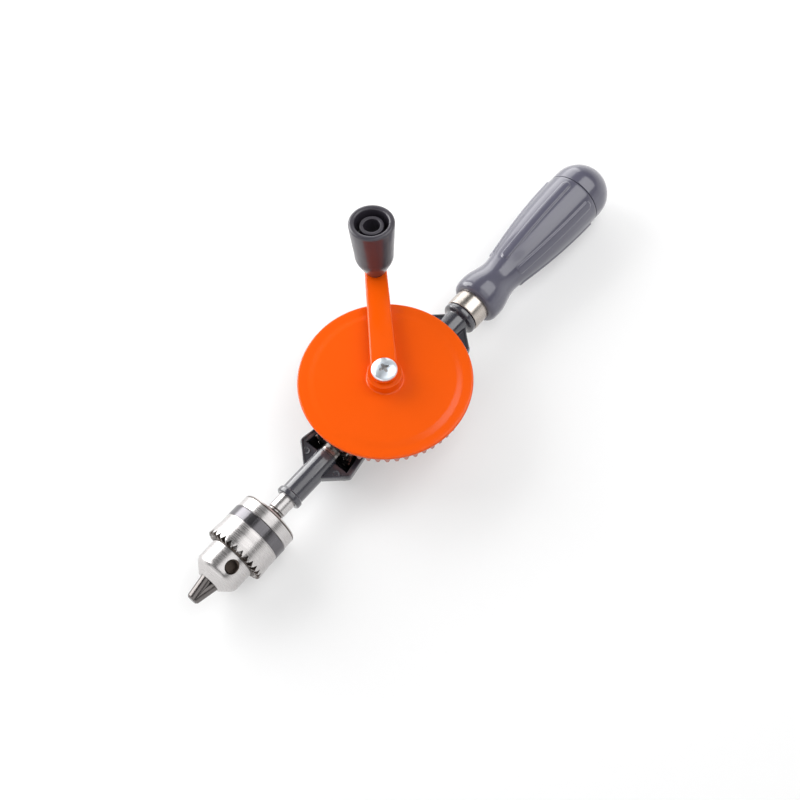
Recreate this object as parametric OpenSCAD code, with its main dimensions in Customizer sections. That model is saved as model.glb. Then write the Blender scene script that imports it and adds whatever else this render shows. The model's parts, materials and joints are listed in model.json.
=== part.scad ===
// Eggbeater hand drill with a double-pinion frame and a keyed three-jaw chuck.
// The spindle runs along X with the chuck's mouth at the origin, and the wheel's axle points up along Z.

/* [Chuck] */
// Diameter of the chuck body's nose
nose_d = 26.2; // [25:0.2:28]
// Length of the nose, from its face to the sleeve
nose_len = 17.8; // [16.5:0.1:20]
// Diameter of the nose's front face
nose_face_d = 14.4; // [13.6:0.2:17]
// Length of the cone at the front of the nose
nose_cone_len = 5.4; // [4:0.2:7]
// Rounding between that cone and the nose's side
nose_round = 5; // [3:0.5:6]
// Diameter of the sleeve's toothed rim
rim_d = 35.4; // [35:0.2:40]
// Length of the toothed rim
rim_len = 6.5; // [5:0.1:9]
// Diameter of the sleeve behind its rim
sleeve_d = 34.6; // [33.6:0.2:35]
// Length of the sleeve
sleeve_len = 21.4; // [20:0.1:26]
// Wall of the sleeve behind its rim
sleeve_wall = 2.4; // [1.6:0.1:2.6]
// Number of teeth round the sleeve's front edge
sleeve_teeth = 28; // [20:1:32]
// Depth of the sleeve's teeth
sleeve_tooth_depth = 2.9; // [2:0.1:4]
// Diameter of the band at the rear of the chuck body
tail_d = 33.8; // [33.2:0.2:36]
// Length of the rear band
tail_len = 7.7; // [6:0.1:12]
// Diameter of the pilot holes in the nose
pilot_d = 6.6; // [5.6:0.1:7.4]
// Depth of the pilot holes
pilot_depth = 5.6; // [4:0.1:6]
// Angle of the first pilot hole round the spindle, from straight up
pilot_angle = 35.5; // [0:0.5:119.5]
// Largest shank that the jaws take
capacity = 10; // [6:0.5:10]
// Angle between a jaw and the spindle axis
jaw_angle = 12; // [11:0.5:13]
// Diameter of a jaw
jaw_d = 6.6; // [6:0.1:7]
// How far the closed jaws reach past the nose
jaw_reach = 12.6; // [10:0.2:14]
// Diameter over the closed jaws at the nose's face
jaw_mouth_d = 12.2; // [11.6:0.1:12.8]
// Length of the threaded ring that drives the jaws
nut_len = 4.3; // [3:0.1:5]

/* [Spindle] */
// Diameter of the spindle's neck
spindle_d = 10.3; // [9.6:0.1:11]
// Length of the neck that shows between chuck and frame
neck_len = 13; // [8:0.5:25]
// Diameter of the thread that the chuck screws onto
chuck_thread_d = 9.5; // [8:0.1:9.6]
// Length of that thread
chuck_thread_len = 13.6; // [10:0.2:14]
// Diameter of the pinion's seat on the spindle
seat_d = 9; // [8.6:0.1:9.4]
// Diameter of the spindle's rear journal, of the idler's axle and of the handle's rod
journal_d = 8; // [7:0.1:8.4]

/* [Gearing] */
// Diameter of the wheel's rim
wheel_d = 96.2; // [88:0.2:104]
// Number of teeth on the wheel
wheel_teeth = 56; // [48:4:60]
// Number of teeth on each pinion
pinion_teeth = 14; // [12:1:15]
// How far the teeth's outer ends lie inside the rim
pitch_inset = 2.8; // [2:0.1:4]
// Length of the teeth
tooth_face = 8; // [6:0.2:9]
// Pressure angle of the teeth
pressure_angle = 20; // [18:0.5:25]
// Play between meshing teeth
backlash = 0.3; // [0.2:0.05:0.5]
// Share of the module by which the pinion's teeth stand taller and the wheel's shorter
addendum_shift = 0.2; // [0:0.05:0.3]
// Length of the collar in front of a pinion's teeth
pinion_collar = 2.6; // [1:0.1:4]
// Diameter of that collar
pinion_collar_d = 12.6; // [12.2:0.1:13]
// Diameter of a pinion's hub
pinion_hub_d = 15.4; // [14:0.1:16]
// Length of a pinion's hub
pinion_hub_len = 8.6; // [7:0.1:11]
// Diameter of the pin through the pinion's hub
pinion_pin_d = 3; // [2:0.1:4]
// Thickness of the washers beside the pinions
washer_t = 1.2; // [0.8:0.1:2]

/* [Wheel] */
// Thickness of the wheel's rim above its teeth
wheel_rim_t = 6.2; // [5:0.1:8]
// Thickness of the thin lip at the wheel's edge
wheel_lip_t = 1.8; // [1.6:0.1:3]
// Thickness of the wheel's web
wheel_web_t = 4; // [3:0.1:5]
// Rounding of the rim's top edge
wheel_edge_r = 1; // [0.4:0.1:1.5]
// Diameter of the wheel's hub under its web
wheel_hub_d = 24; // [20:0.5:27]
// Diameter of the boss on the wheel's face
wheel_boss_d = 19.4; // [18:0.2:24]
// Height of the boss above the wheel's face
wheel_boss_h = 6; // [5.4:0.1:10]
// Diameter of the wheel's axle
axle_d = 10; // [9:0.1:11]

/* [Crank] */
// Distance from the axle to the knob's pin
crank_r = 68.2; // [60:0.2:80]
// Angle of the arm at rest, seen from above
crank_angle = -135; // [-180:0.5:180]
// Width of the arm at the axle
arm_hub_w = 15.6; // [14.6:0.2:18]
// Width of the arm at the knob
arm_tip_w = 13; // [11:0.2:15]
// Thickness of the arm
arm_t = 2.8; // [2:0.1:4]
// Angle by which the arm dips towards its end
arm_dip = 5; // [2:0.5:5.5]
// Distance from the axle to the bend in the arm
arm_bend = 9.5; // [9.5:0.5:14]
// Diameter of the screw's head
screw_head_d = 14.4; // [12:0.2:15]
// Height of the screw's head
screw_head_h = 3.2; // [2:0.1:4]
// Diameter of the screw's shank
screw_d = 5; // [4:0.5:6]
// Length of the screw's shank in the axle
screw_len = 12; // [8:0.5:16]

/* [Knob] */
// Diameter over the knob's rim
knob_d = 25.6; // [24:0.2:30]
// Length of the knob
knob_len = 41; // [38:0.5:55]
// Diameter of the knob where its cone begins
knob_waist_d = 22; // [20:0.2:23]
// Diameter of the knob's base
knob_base_d = 11.4; // [11:0.2:14]
// Length of the knob's cone
knob_cone_len = 12; // [8:0.2:14]
// Diameter of the knob's open end
knob_mouth_d = 19.6; // [18:0.2:21]
// Depth of the open end
knob_mouth_depth = 13; // [8:0.5:18]
// Diameter of the sleeve inside the open end
knob_core_d = 13.6; // [12.4:0.2:15]
// How far the sleeve stops short of the open end
knob_core_drop = 4.4; // [1:0.2:6]
// Diameter of the hole down the knob's sleeve
knob_hole_d = 9.6; // [8.6:0.1:10.4]
// Depth of that hole
knob_hole_depth = 18; // [12:0.5:22]
// Diameter of the knob's pin
knob_pin_d = 6; // [5:0.1:6.6]
// Diameter of the pin's head
knob_head_d = 8.4; // [7.4:0.1:8.4]
// Height of the pin's head
knob_head_h = 2.4; // [1.6:0.1:4]

/* [Frame] */
// Diameter of the front tube
tube_d = 13.4; // [13:0.2:14.6]
// Length of the front tube, from its end to the front window
tube_len = 31.8; // [26:0.2:45]
// Diameter of the collar at the tube's end
collar_d = 15.2; // [14.8:0.2:19]
// Length of that collar
collar_len = 3.2; // [2:0.1:5]
// Length of a yoke's flare
flare_len = 12; // [8:0.2:16]
// Width of the rails beside the windows
rail_w = 3.2; // [2.4:0.1:5]
// Thickness of the rails and of the webs between them
web_t = 3.2; // [2.4:0.1:3.4]
// Width of the raised edge round the rails
edge_w = 1.3; // [0.8:0.1:2]
// Height of the raised edge
edge_h = 4.6; // [4:0.1:8]
// Room between a pinion's teeth and the rails
window_room = 1.9; // [1.2:0.1:3]
// Wall of the half-round cases that close the windows from below
case_wall = 1.8; // [1.2:0.1:2.4]
// Width of the rails' outline at the axle
waist_w = 20; // [14:0.5:25]
// Diameter of the hub round the axle
hub_d = 26; // [22:0.5:30]
// Height of the hub
hub_h = 18.4; // [17.6:0.1:19]
// Diameter of the bearing boss along the spindle
boss_d = 16.4; // [15.6:0.1:17]
// Diameter of the round pads on the front webs
pad_d = 4.4; // [3:0.1:5]
// Height of those pads
pad_h = 0.5; // [0.3:0.1:0.8]
// Diameter of the rear tube
rear_tube_d = 15; // [13:0.2:17]
// Diameter of the flange at the rear
flange_d = 21; // [20.4:0.2:26]
// Length of the flange
flange_len = 3.5; // [2.5:0.1:5]

/* [Handle] */
// Length of the grip, from its front edge to the cap's seam
grip_len = 98; // [92:0.5:130]
// Diameter of the bead at the front
bead_d = 29.6; // [28:0.1:35]
// Distance from the front edge to the middle of the bead
bead_x = 8.5; // [7:0.1:10]
// Diameter of the waist
waist_d = 23.4; // [22:0.1:26]
// Distance from the front edge to the waist
waist_x = 27; // [24:0.5:34]
// Diameter of the swell at the rear
swell_d = 35.6; // [34:0.1:42]
// Number of raised ribs
ribs = 6; // [4:1:8]
// Width of a rib
rib_w = 5; // [3:0.1:7]
// Height of a rib
rib_h = 0.7; // [0.4:0.1:1.2]
// Angle of the first rib round the handle, from straight up
rib_angle = -9; // [-30:1:30]
// Length of the end cap behind the seam
cap_len = 23.5; // [20:0.5:34]
// Diameter of the ferrule
ferrule_d = 21.6; // [20.6:0.1:22]
// Length of the ferrule
ferrule_len = 8.4; // [6:0.1:12]
// Wall of the ferrule
ferrule_wall = 1; // [0.6:0.1:1.4]
// Diameter of the pocket behind the handle's nut
pocket_d = 22; // [20:0.2:26]
// Depth of that pocket from the seam
pocket_depth = 20; // [18:0.5:30]

/* [Clearances] */
// Radial play of a shaft that turns in a bore
running_gap = 0.05; // [0.02:0.01:0.08]
// Radial gap of a piece that is pressed or screwed home
seat_gap = 0.02; // [0.01:0.01:0.04]
// Gap between faces that pass each other
face_gap = 0.2; // [0.15:0.05:0.3]
// Gap between the closed jaws
jaw_gap = 0.2; // [0.1:0.05:0.4]

/* [Hidden] */
$fn = 96;
far = 100;

cast_grey = [0.27, 0.27, 0.31];
orange = [0.96, 0.34, 0.03];
steel = [0.78, 0.77, 0.76];
dark_steel = [0.42, 0.41, 0.41];
nickel = [0.86, 0.81, 0.78];
zinc = [0.82, 0.85, 0.9];
handle_grey = [0.46, 0.46, 0.52];
charcoal = [0.25, 0.23, 0.26];

// Chuck, measured back from the mouth
sleeve_x = -nose_len;
sleeve_end_x = sleeve_x - sleeve_len;
tail_x = sleeve_end_x - face_gap;
chuck_end_x = tail_x - tail_len;
sleeve_lip = 1.2;
nut_x = sleeve_x - sleeve_lip;
nut_end_x = nut_x - nut_len;
sleeve_bore_r = sleeve_d / 2 - sleeve_wall;
core_r = sleeve_bore_r - running_gap;
tail_chamfer = 0.8;
pilot_x = -0.674 * nose_len;
pilot_chamfer = 0.6;
jaw_slope = tan(jaw_angle);
jaw_r = jaw_d / 2;
jaw_line_r = jaw_mouth_d / 2 - jaw_r / cos(jaw_angle);
jaw_end_x = nut_end_x - face_gap;
jaw_chamfer = 0.8;
shank_bore_d = capacity + 0.4;
shank_bore_end_x = nut_end_x - 4;
nut_clear = 0.15;
nut_split = 0.4;

// Bevel gearing, measured from the crossing of the spindle and the axle
pitch_r = wheel_d / 2 - pitch_inset;
gear_module = 2 * pitch_r / wheel_teeth;
pinion_r = gear_module * pinion_teeth / 2;
cone_angle = atan2(pinion_teeth, wheel_teeth);
cone_len = norm([pitch_r, pinion_r]);
inner_share = (cone_len - tooth_face) / cone_len;
root_room = 0.25;
wheel_addendum = (1 - addendum_shift) * gear_module;
wheel_dedendum = (1 + root_room + addendum_shift) * gear_module;
pinion_addendum = (1 + addendum_shift) * gear_module;
pinion_dedendum = (1 + root_room - addendum_shift) * gear_module;
half_tooth = PI * gear_module / 4 - backlash / 4;
tooth_sink = 0.5;
pinion_front = gear_x(1, -pinion_dedendum);
pinion_back = gear_x(inner_share, -pinion_dedendum);
pinion_tip_r = gear_r(1, pinion_addendum);
collar_end = pinion_front + pinion_collar;
hub_end = pinion_back - pinion_hub_len;
window_end = collar_end + washer_t + 2 * face_gap;
boss_end = hub_end - washer_t - 2 * face_gap;

// Frame and handle, measured along X
collar_x = chuck_end_x - neck_len;
axle_x = collar_x - tube_len - window_end;
flare_end = window_end + flare_len;
window_half_w = pinion_tip_r + window_room;
yoke_half_w = window_half_w + rail_w;
rail_slope = (yoke_half_w - waist_w / 2) / (window_end + 1);
window_near_half_w = window_half_w - rail_slope * (window_end - boss_end);
flange_end = flare_end + face_gap + 1.2 + flange_len;
rod_start = window_end + 7;
grip_x = axle_x - flange_end - ferrule_len;
seam_x = grip_x - grip_len;
seam_w = 0.5;
blind_end = axle_d / 2 + 2;
rod_washer_t = 1.6;
rod_nut_h = 6.4;
rod_nut_w = 13;
pocket_floor_x = seam_x + pocket_depth;
rod_end_x = pocket_floor_x - rod_washer_t - rod_nut_h - 2.4;

// Wheel and crank, measured up from the spindle axis
rim_z = pinion_r + wheel_dedendum * cos(cone_angle);
face_z = rim_z + wheel_rim_t;
web_z = face_z - wheel_web_t;
hub_z = hub_h / 2;
boss_z = face_z + wheel_boss_h;
arm_z = boss_z + arm_t;
axle_flats = 0.7 * axle_d;
clip_t = 1.2;
axle_washer_t = 1;
clip_z = -hub_z - axle_washer_t - 2 * face_gap;
axle_end_z = clip_z - clip_t - 1.4;
clip_groove_d = axle_d - 2;
knob_tenon_d = 0.8 * knob_pin_d;

// Point on a bevel tooth: share of the cone length, height above the pitch line
function gear_x(share, height) = share * (cone_len * cos(cone_angle) - height * sin(cone_angle));
function gear_r(share, height) = share * (cone_len * sin(cone_angle) + height * cos(cone_angle));

// Points along a cubic curve between a and d, without its last point
function curve(a, b, c, d, steps = 12) = [
  for (i = [0 : steps - 1])
    let (t = i / steps, u = 1 - t)
      u * u * u * a + 3 * u * u * t * b + 3 * u * t * t * c + t * t * t * d
];

function unit(v) = v / norm(v);

// Outline with each corner rounded by its own radius, given as [x, y, radius]
function rounded(corners, steps = 6) = [
  for (i = [0 : len(corners) - 1])
    let (
      p = [corners[i][0], corners[i][1]],
      before = corners[(i + len(corners) - 1) % len(corners)],
      after = corners[(i + 1) % len(corners)],
      a = unit([before[0], before[1]] - p),
      b = unit([after[0], after[1]] - p),
      half = acos(a * b) / 2,
      centre = p + unit(a + b) * corners[i][2] / sin(half),
      from = p + a * corners[i][2] / tan(half) - centre,
      to = p + b * corners[i][2] / tan(half) - centre
    )
      for (k = [0 : steps])
        centre + unit(from * (steps - k) + to * k) * corners[i][2]
];

// Solid of revolution about X, from points given as [x, radius]
module turned(points) {
  rotate([0, 90, 0])
    rotate_extrude()
      polygon([for (p = points) [p[1], p[0]]]);
}

// Cylinder along X between two places
module bar_x(from, to, d) {
  translate([min(from, to), 0, 0])
    rotate([0, 90, 0])
      cylinder(h = abs(to - from), d = d);
}

// Ring along X between two places
module ring_x(from, to, outer_d, inner_d) {
  difference() {
    bar_x(from, to, outer_d);
    bar_x(min(from, to) - 1, max(from, to) + 1, inner_d);
  }
}

// Solid of revolution about Z, from points given as [radius, z]
module turned_z(points) {
  rotate_extrude()
    polygon(points);
}

// Places its children at the crossing of the spindle and the axle
module at_axle() {
  translate([axle_x, 0, 0])
    children();
}

// Prism between two like outlines, each a list of points in space
module loft(near, away) {
  n = len(near);
  polyhedron(
    points = concat(near, away),
    faces = concat(
      [[for (i = [0 : n - 1]) i]],
      [[for (i = [n - 1 : -1 : 0]) n + i]],
      [for (i = [0 : n - 1]) [i, n + i, n + (i + 1) % n, (i + 1) % n]]
    )
  );
}

// Half thickness of a wheel tooth, which is straight-sided, at a height above its pitch line
function wheel_half(height) =
  half_tooth - addendum_shift * gear_module * tan(pressure_angle) - height * tan(pressure_angle);

function wheel_section(share) = [
  for (p = [
    [-wheel_dedendum - tooth_sink, 1], [wheel_addendum, 1],
    [wheel_addendum, -1], [-wheel_dedendum - tooth_sink, -1]
  ])
    [gear_x(share, -p[0]), share * p[1] * wheel_half(p[0]), gear_r(share, -p[0])]
];

module wheel_tooth() {
  loft(wheel_section(1), wheel_section(inner_share));
}

// Half thickness of a pinion tooth, an involute on its back cone, at a height above its pitch line
virtual_r = pinion_r / cos(cone_angle);
base_r = virtual_r * cos(pressure_angle);
pitch_half_angle = (half_tooth + addendum_shift * gear_module * tan(pressure_angle)) / virtual_r * 180 / PI;
function involute(angle) = tan(angle) * 180 / PI - angle;
function pinion_half(height) =
  let (
    r = virtual_r + height,
    angle = r > base_r ? acos(base_r / r) : 0
  )
    r * sin(pitch_half_angle + involute(pressure_angle) - involute(angle));

flank_steps = 5;
function pinion_section(share) =
  let (
    low = -pinion_dedendum - tooth_sink,
    heights = [
      low,
      for (i = [0 : flank_steps - 1])
        -pinion_dedendum * 0.5 + i * (pinion_addendum + pinion_dedendum * 0.5) / (flank_steps - 1)
    ],
    sides = concat([for (h = heights) [h, 1]], [for (i = [len(heights) - 1 : -1 : 0]) [heights[i], -1]])
  )
    [for (s = sides) [gear_x(share, s[0]), share * s[1] * pinion_half(s[0]), gear_r(share, s[0])]];

// Bevel pinion with its hub, round the spindle axis, with the teeth's cone pointing to the origin
module bevel_pinion(bore_d) {
  difference() {
    union() {
      turned([
        [hub_end, 0],
        [hub_end, pinion_hub_d / 2],
        [pinion_back, pinion_hub_d / 2],
        [pinion_back, gear_r(inner_share, -pinion_dedendum)],
        [pinion_front, gear_r(1, -pinion_dedendum)],
        [pinion_front, pinion_collar_d / 2],
        [collar_end, pinion_collar_d / 2],
        [collar_end, 0]
      ]);
      for (i = [0 : pinion_teeth - 1])
        rotate([i * 360 / pinion_teeth, 0, 0])
          loft(pinion_section(inner_share), pinion_section(1));
    }
    bar_x(hub_end - 1, collar_end + 1, bore_d);
  }
}

// Outline of the frame in plan, from the axle
frame_corner_r = 2.4;
function frame_outline(inset) =
  let (
    tube_half = tube_d / 2 - inset,
    yoke_half = yoke_half_w - inset,
    waist_half = waist_w / 2 - inset,
    tip = flare_end - inset
  )
    [
      for (end = [1, -1])
        for (side = end > 0 ? [-1, 1] : [1, -1])
          for (p = side * end < 0
            ? [[0, waist_half, 6], [window_end + 1, yoke_half, frame_corner_r], [tip, tube_half, 1]]
            : [[tip, tube_half, 1], [window_end + 1, yoke_half, frame_corner_r]])
            [end * p[0], side * p[1], p[2]]
    ];

// Window beside the bearing boss, where a pinion turns
module window() {
  linear_extrude(height = far, center = true)
    polygon(rounded([
      [boss_end, -window_near_half_w, 1.5],
      [window_end, -window_half_w, 1.5],
      [window_end, window_half_w, 1.5],
      [boss_end, window_near_half_w, 1.5]
    ]));
}

// Solid round the spindle that is as wide as a window and a given amount more
module window_cone(more, longer) {
  turned([
    [boss_end - longer, 0],
    [boss_end - longer, window_near_half_w + more],
    [window_end + longer, window_half_w + more],
    [window_end + longer, 0]
  ]);
}

// Half-round case round the lower half of a pinion
module gear_case() {
  difference() {
    window_cone(case_wall, case_wall);
    window_cone(face_gap, 0);
    translate([0, -far / 2, -web_t / 4])
      cube(far);
  }
}

// Rails and webs with a raised edge, open where the pinions turn
module frame_plate() {
  difference() {
    union() {
      linear_extrude(height = web_t, center = true)
        polygon(rounded(frame_outline(0)));
      linear_extrude(height = edge_h, center = true)
        difference() {
          polygon(rounded(frame_outline(0)));
          polygon(rounded(frame_outline(edge_w)));
        }
    }
    for (turn = [0, 180])
      rotate([0, 0, turn])
        window();
  }
}

module frame() {
  color(cast_grey)
    at_axle()
      difference() {
        union() {
          frame_plate();
          for (turn = [0, 180])
            rotate([0, 0, turn])
              gear_case();
          cylinder(h = hub_h, d = hub_d, center = true);
          bar_x(-boss_end, boss_end, boss_d);
          bar_x(window_end, collar_x - axle_x, tube_d);
          turned([
            [collar_x - axle_x - collar_len, 0],
            [collar_x - axle_x - collar_len, collar_d / 2 - 0.5],
            [collar_x - axle_x - collar_len + 0.5, collar_d / 2],
            [collar_x - axle_x - 0.5, collar_d / 2],
            [collar_x - axle_x, collar_d / 2 - 0.5],
            [collar_x - axle_x, 0]
          ]);
          bar_x(-window_end, -flange_end, rear_tube_d);
          turned([
            [-flange_end, 0],
            [-flange_end, flange_d / 2 - 0.8],
            [-flange_end + 0.8, flange_d / 2],
            [-flange_end + flange_len - 1, flange_d / 2],
            [-flange_end + flange_len, flange_d / 2 - 1],
            [-flange_end + flange_len, 0]
          ]);
          for (side = [-1, 1])
            translate([window_end + 0.37 * flare_len, side * 0.6 * yoke_half_w, 0])
              cylinder(h = web_t / 2 + pad_h, d = pad_d);
        }
        bar_x(window_end - 2, collar_x - axle_x + 1, spindle_d + 2 * running_gap);
        bar_x(blind_end - 0.4, boss_end + 1, journal_d + 2 * running_gap);
        bar_x(-blind_end + 0.4, -boss_end - 1, journal_d + 2 * seat_gap);
        bar_x(-window_end + 2, -flange_end - 1, journal_d + 2 * seat_gap);
        cylinder(h = hub_h + 2, d = axle_d + 2 * running_gap, center = true);
      }
}

module idler_axle() {
  color(steel)
    at_axle()
      bar_x(-blind_end, -rod_start + face_gap, journal_d);
}

// Washers on the idler's side, mirrored from those of the drive pinion
module idler_front_washer() {
  from = -boss_end - face_gap;
  color(steel)
    at_axle()
      ring_x(from, from - washer_t, pinion_hub_d, journal_d + 4 * running_gap);
}

module idler_rear_washer() {
  from = -window_end + face_gap;
  color(steel)
    at_axle()
      ring_x(from, from + washer_t, pinion_collar_d, journal_d + 4 * running_gap);
}

module idler_pinion() {
  color(dark_steel)
    at_axle()
      rotate([0, 0, 180])
        bevel_pinion(journal_d + 2 * running_gap);
}

module handle_rod() {
  color(steel)
    bar_x(axle_x - rod_start, rod_end_x, journal_d);
}

module rod_washer() {
  color(steel)
    ring_x(pocket_floor_x, pocket_floor_x - rod_washer_t, 0.8 * pocket_d, journal_d + 4 * seat_gap);
}

module rod_nut() {
  color(zinc)
    translate([pocket_floor_x - rod_washer_t, 0, 0])
      rotate([0, -90, 0])
        difference() {
          cylinder(h = rod_nut_h, d = rod_nut_w / cos(30), $fn = 6);
          translate([0, 0, -1])
            cylinder(h = rod_nut_h + 2, d = journal_d + 2 * seat_gap);
        }
}

module ferrule() {
  color(nickel)
    ring_x(axle_x - flange_end - face_gap / 2, grip_x, ferrule_d, ferrule_d - 2 * ferrule_wall);
}

// Outline of the grip from its front edge to the seam, with its ribbed part raised
function grip_outline(raise) =
  let (
    bead_r = bead_d / 2,
    waist_r = waist_d / 2,
    swell_r = swell_d / 2,
    front_r = ferrule_d / 2 + 0.4,
    rise = grip_len - waist_x
  )
    [
      for (p = concat(
        curve([0, front_r], [0, (front_r + bead_r) / 2], [bead_x / 2, bead_r], [bead_x, bead_r], 6),
        curve([bead_x, bead_r], [bead_x + 0.38 * (waist_x - bead_x), bead_r],
              [waist_x - 0.38 * (waist_x - bead_x), waist_r], [waist_x, waist_r], 8),
        curve([waist_x, waist_r], [waist_x + 0.13 * rise, waist_r],
              [waist_x + 0.43 * rise, swell_r], [grip_len, swell_r], 10),
        [[grip_len, swell_r]]
      ))
        [grip_x - p[0], p[1] + raise]
    ];

module handle() {
  rib_start = waist_x + 5;
  rib_end = grip_len - 3;
  color(handle_grey)
    difference() {
      union() {
        turned(concat([[grip_x, 0]], grip_outline(0), [[seam_x, 0]]));
        bar_x(grip_x - 1, axle_x - flange_end - face_gap, ferrule_d - 2 * ferrule_wall - 2 * seat_gap);
        intersection() {
          turned(concat([[grip_x, 0]], grip_outline(rib_h), [[seam_x, 0]]));
          for (i = [0 : ribs - 1])
            rotate([-rib_angle - i * 360 / ribs, 0, 0])
              linear_extrude(height = swell_d) {
                translate([grip_x - rib_end + rib_w / 2, -rib_w / 2])
                  square([rib_end - rib_start - rib_w, rib_w]);
                translate([grip_x - rib_start - rib_w / 2, 0])
                  circle(d = rib_w);
                translate([grip_x - rib_end + rib_w / 2, 0])
                  circle(d = rib_w);
              }
        }
      }
      bar_x(seam_x - 1, axle_x, journal_d + 4 * seat_gap);
      bar_x(seam_x - 1, pocket_floor_x, pocket_d);
    }
}

module end_cap() {
  cap_r = swell_d / 2 - 0.1;
  straight = 0.25 * cap_len;
  dome = cap_len - straight;
  plug_len = 5;
  color(handle_grey)
    difference() {
      turned(concat(
        [
          [seam_x + plug_len, 0],
          [seam_x + plug_len, pocket_d / 2 - seat_gap],
          [seam_x, pocket_d / 2 - seat_gap],
          [seam_x, cap_r - 0.8],
          [seam_x - seam_w, cap_r - 0.8],
          [seam_x - seam_w, cap_r]
        ],
        [for (i = [0 : 14]) [seam_x - straight - dome * sin(i * 6), cap_r * cos(i * 6)]],
        [[seam_x - cap_len, 0]]
      ));
      turned([
        [seam_x + plug_len + 1, 0],
        [seam_x + plug_len + 1, pocket_d / 2 - 2],
        [seam_x - straight, pocket_d / 2 - 2],
        [seam_x - straight - 3, 0]
      ]);
    }
}

module gear_wheel() {
  root_r = gear_x(1, wheel_dedendum);
  inner_r = gear_x(inner_share, wheel_dedendum);
  inner_z = gear_r(inner_share, wheel_dedendum);
  color(orange)
    at_axle()
      difference() {
        union() {
          turned_z([
            [0, hub_z + face_gap],
            [wheel_hub_d / 2, hub_z + face_gap],
            [wheel_hub_d / 2, web_z],
            [inner_r - 1.2, web_z],
            [inner_r - 0.6, inner_z],
            [inner_r, inner_z],
            [root_r, rim_z],
            [wheel_d / 2, face_z - wheel_lip_t],
            for (i = [0 : 15 : 90])
              [
                wheel_d / 2 - wheel_edge_r + wheel_edge_r * cos(i),
                face_z - wheel_edge_r + wheel_edge_r * sin(i)
              ],
            [wheel_boss_d / 2 + 0.6, face_z],
            [wheel_boss_d / 2, face_z + 0.6],
            [wheel_boss_d / 2, boss_z - 0.5],
            [wheel_boss_d / 2 - 0.5, boss_z],
            [0, boss_z]
          ]);
          for (i = [0 : wheel_teeth - 1])
            rotate([0, 0, (i + 0.5) * 360 / wheel_teeth])
              wheel_tooth();
        }
        cylinder(h = far, d = axle_d + 2 * seat_gap);
      }
}

module wheel_axle() {
  color(steel)
    at_axle()
      difference() {
        turned_z([
          [0, axle_end_z],
          [axle_d / 2 - 0.6, axle_end_z],
          [axle_d / 2, axle_end_z + 0.6],
          [axle_d / 2, clip_z - clip_t],
          [clip_groove_d / 2, clip_z - clip_t],
          [clip_groove_d / 2, clip_z],
          [axle_d / 2, clip_z],
          [axle_d / 2, arm_z - 0.4],
          [0, arm_z - 0.4]
        ]);
        rotate([0, 0, crank_angle])
          for (side = [-1, 1])
            translate([-axle_d, side > 0 ? axle_flats / 2 : -axle_flats / 2 - axle_d, boss_z])
              cube([2 * axle_d, axle_d, 2 * arm_t]);
        translate([0, 0, arm_z - screw_len - 1])
          cylinder(h = screw_len + 2, d = screw_d + 2 * seat_gap);
      }
}

module axle_washer() {
  color(steel)
    at_axle()
      translate([0, 0, -hub_z - face_gap - axle_washer_t])
        difference() {
          cylinder(h = axle_washer_t, d = 1.8 * axle_d);
          translate([0, 0, -1])
            cylinder(h = axle_washer_t + 2, d = axle_d + 4 * running_gap);
        }
}

// Retaining ring, open on one side, in the axle's groove
module axle_clip() {
  color(dark_steel)
    at_axle()
      translate([0, 0, clip_z - clip_t + 0.1])
        difference() {
          cylinder(h = clip_t - 0.2, d = 1.7 * axle_d);
          translate([0, 0, -1])
            cylinder(h = clip_t + 2, d = clip_groove_d + 2 * seat_gap);
          translate([0, -0.35 * axle_d, -1])
            cube([axle_d, 0.7 * axle_d, clip_t + 2]);
        }
}

arm_slant = (crank_r - arm_bend) / cos(arm_dip);

module at_crank() {
  at_axle()
    rotate([0, 0, crank_angle])
      children();
}

// Places its children on the arm's upper face, square to it, at the knob's pin
module at_knob() {
  at_crank()
    translate([arm_bend, 0, arm_z])
      rotate([0, arm_dip, 0])
        translate([arm_slant, 0, 0])
          children();
}

// Flat bar with one bend: its side view, cut to its outline in plan
module crank_arm() {
  tip = arm_slant + arm_tip_w;
  tip_x = arm_bend + tip * cos(arm_dip);
  tip_z = arm_z - tip * sin(arm_dip);
  low_bend = arm_bend - arm_t * tan(arm_dip / 2);
  color(orange)
    difference() {
      at_crank()
        intersection() {
          rotate([90, 0, 0])
            linear_extrude(height = 2 * arm_hub_w, center = true)
              polygon([
                [-arm_hub_w, boss_z],
                [low_bend, boss_z],
                [tip_x - arm_t * sin(arm_dip), tip_z - arm_t * cos(arm_dip)],
                [tip_x, tip_z],
                [arm_bend, arm_z],
                [-arm_hub_w, arm_z]
              ]);
          linear_extrude(height = far)
            union() {
              circle(d = arm_hub_w);
              translate([crank_r, 0])
                circle(d = arm_tip_w);
              polygon([
                [0, -arm_hub_w / 2], [crank_r, -arm_tip_w / 2],
                [crank_r, arm_tip_w / 2], [0, arm_hub_w / 2]
              ]);
            }
        }
      at_crank()
        translate([0, 0, boss_z - 1])
          linear_extrude(height = arm_t + 2)
            intersection() {
              circle(d = axle_d + 2 * seat_gap);
              square([2 * axle_d, axle_flats + 2 * seat_gap], center = true);
            }
      at_knob()
        translate([0, 0, -2 * arm_t])
          cylinder(h = 3 * arm_t, d = knob_tenon_d + 2 * seat_gap);
    }
}

module arm_screw() {
  edge = 0.3 * screw_head_h;
  color(zinc)
    at_axle()
      union() {
        turned_z(concat(
          [[0, arm_z], [screw_head_d / 2 - 0.3, arm_z], [screw_head_d / 2, arm_z + 0.3]],
          [
            for (i = [0 : 15 : 75])
              [screw_head_d / 2 * cos(i), arm_z + edge + (screw_head_h - edge) * sin(i)]
          ],
          [[0, arm_z + screw_head_h]]
        ));
        translate([0, 0, arm_z - screw_len])
          cylinder(h = screw_len + 0.5, d = screw_d);
      }
}

knob_floor = knob_len - knob_hole_depth;

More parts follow.
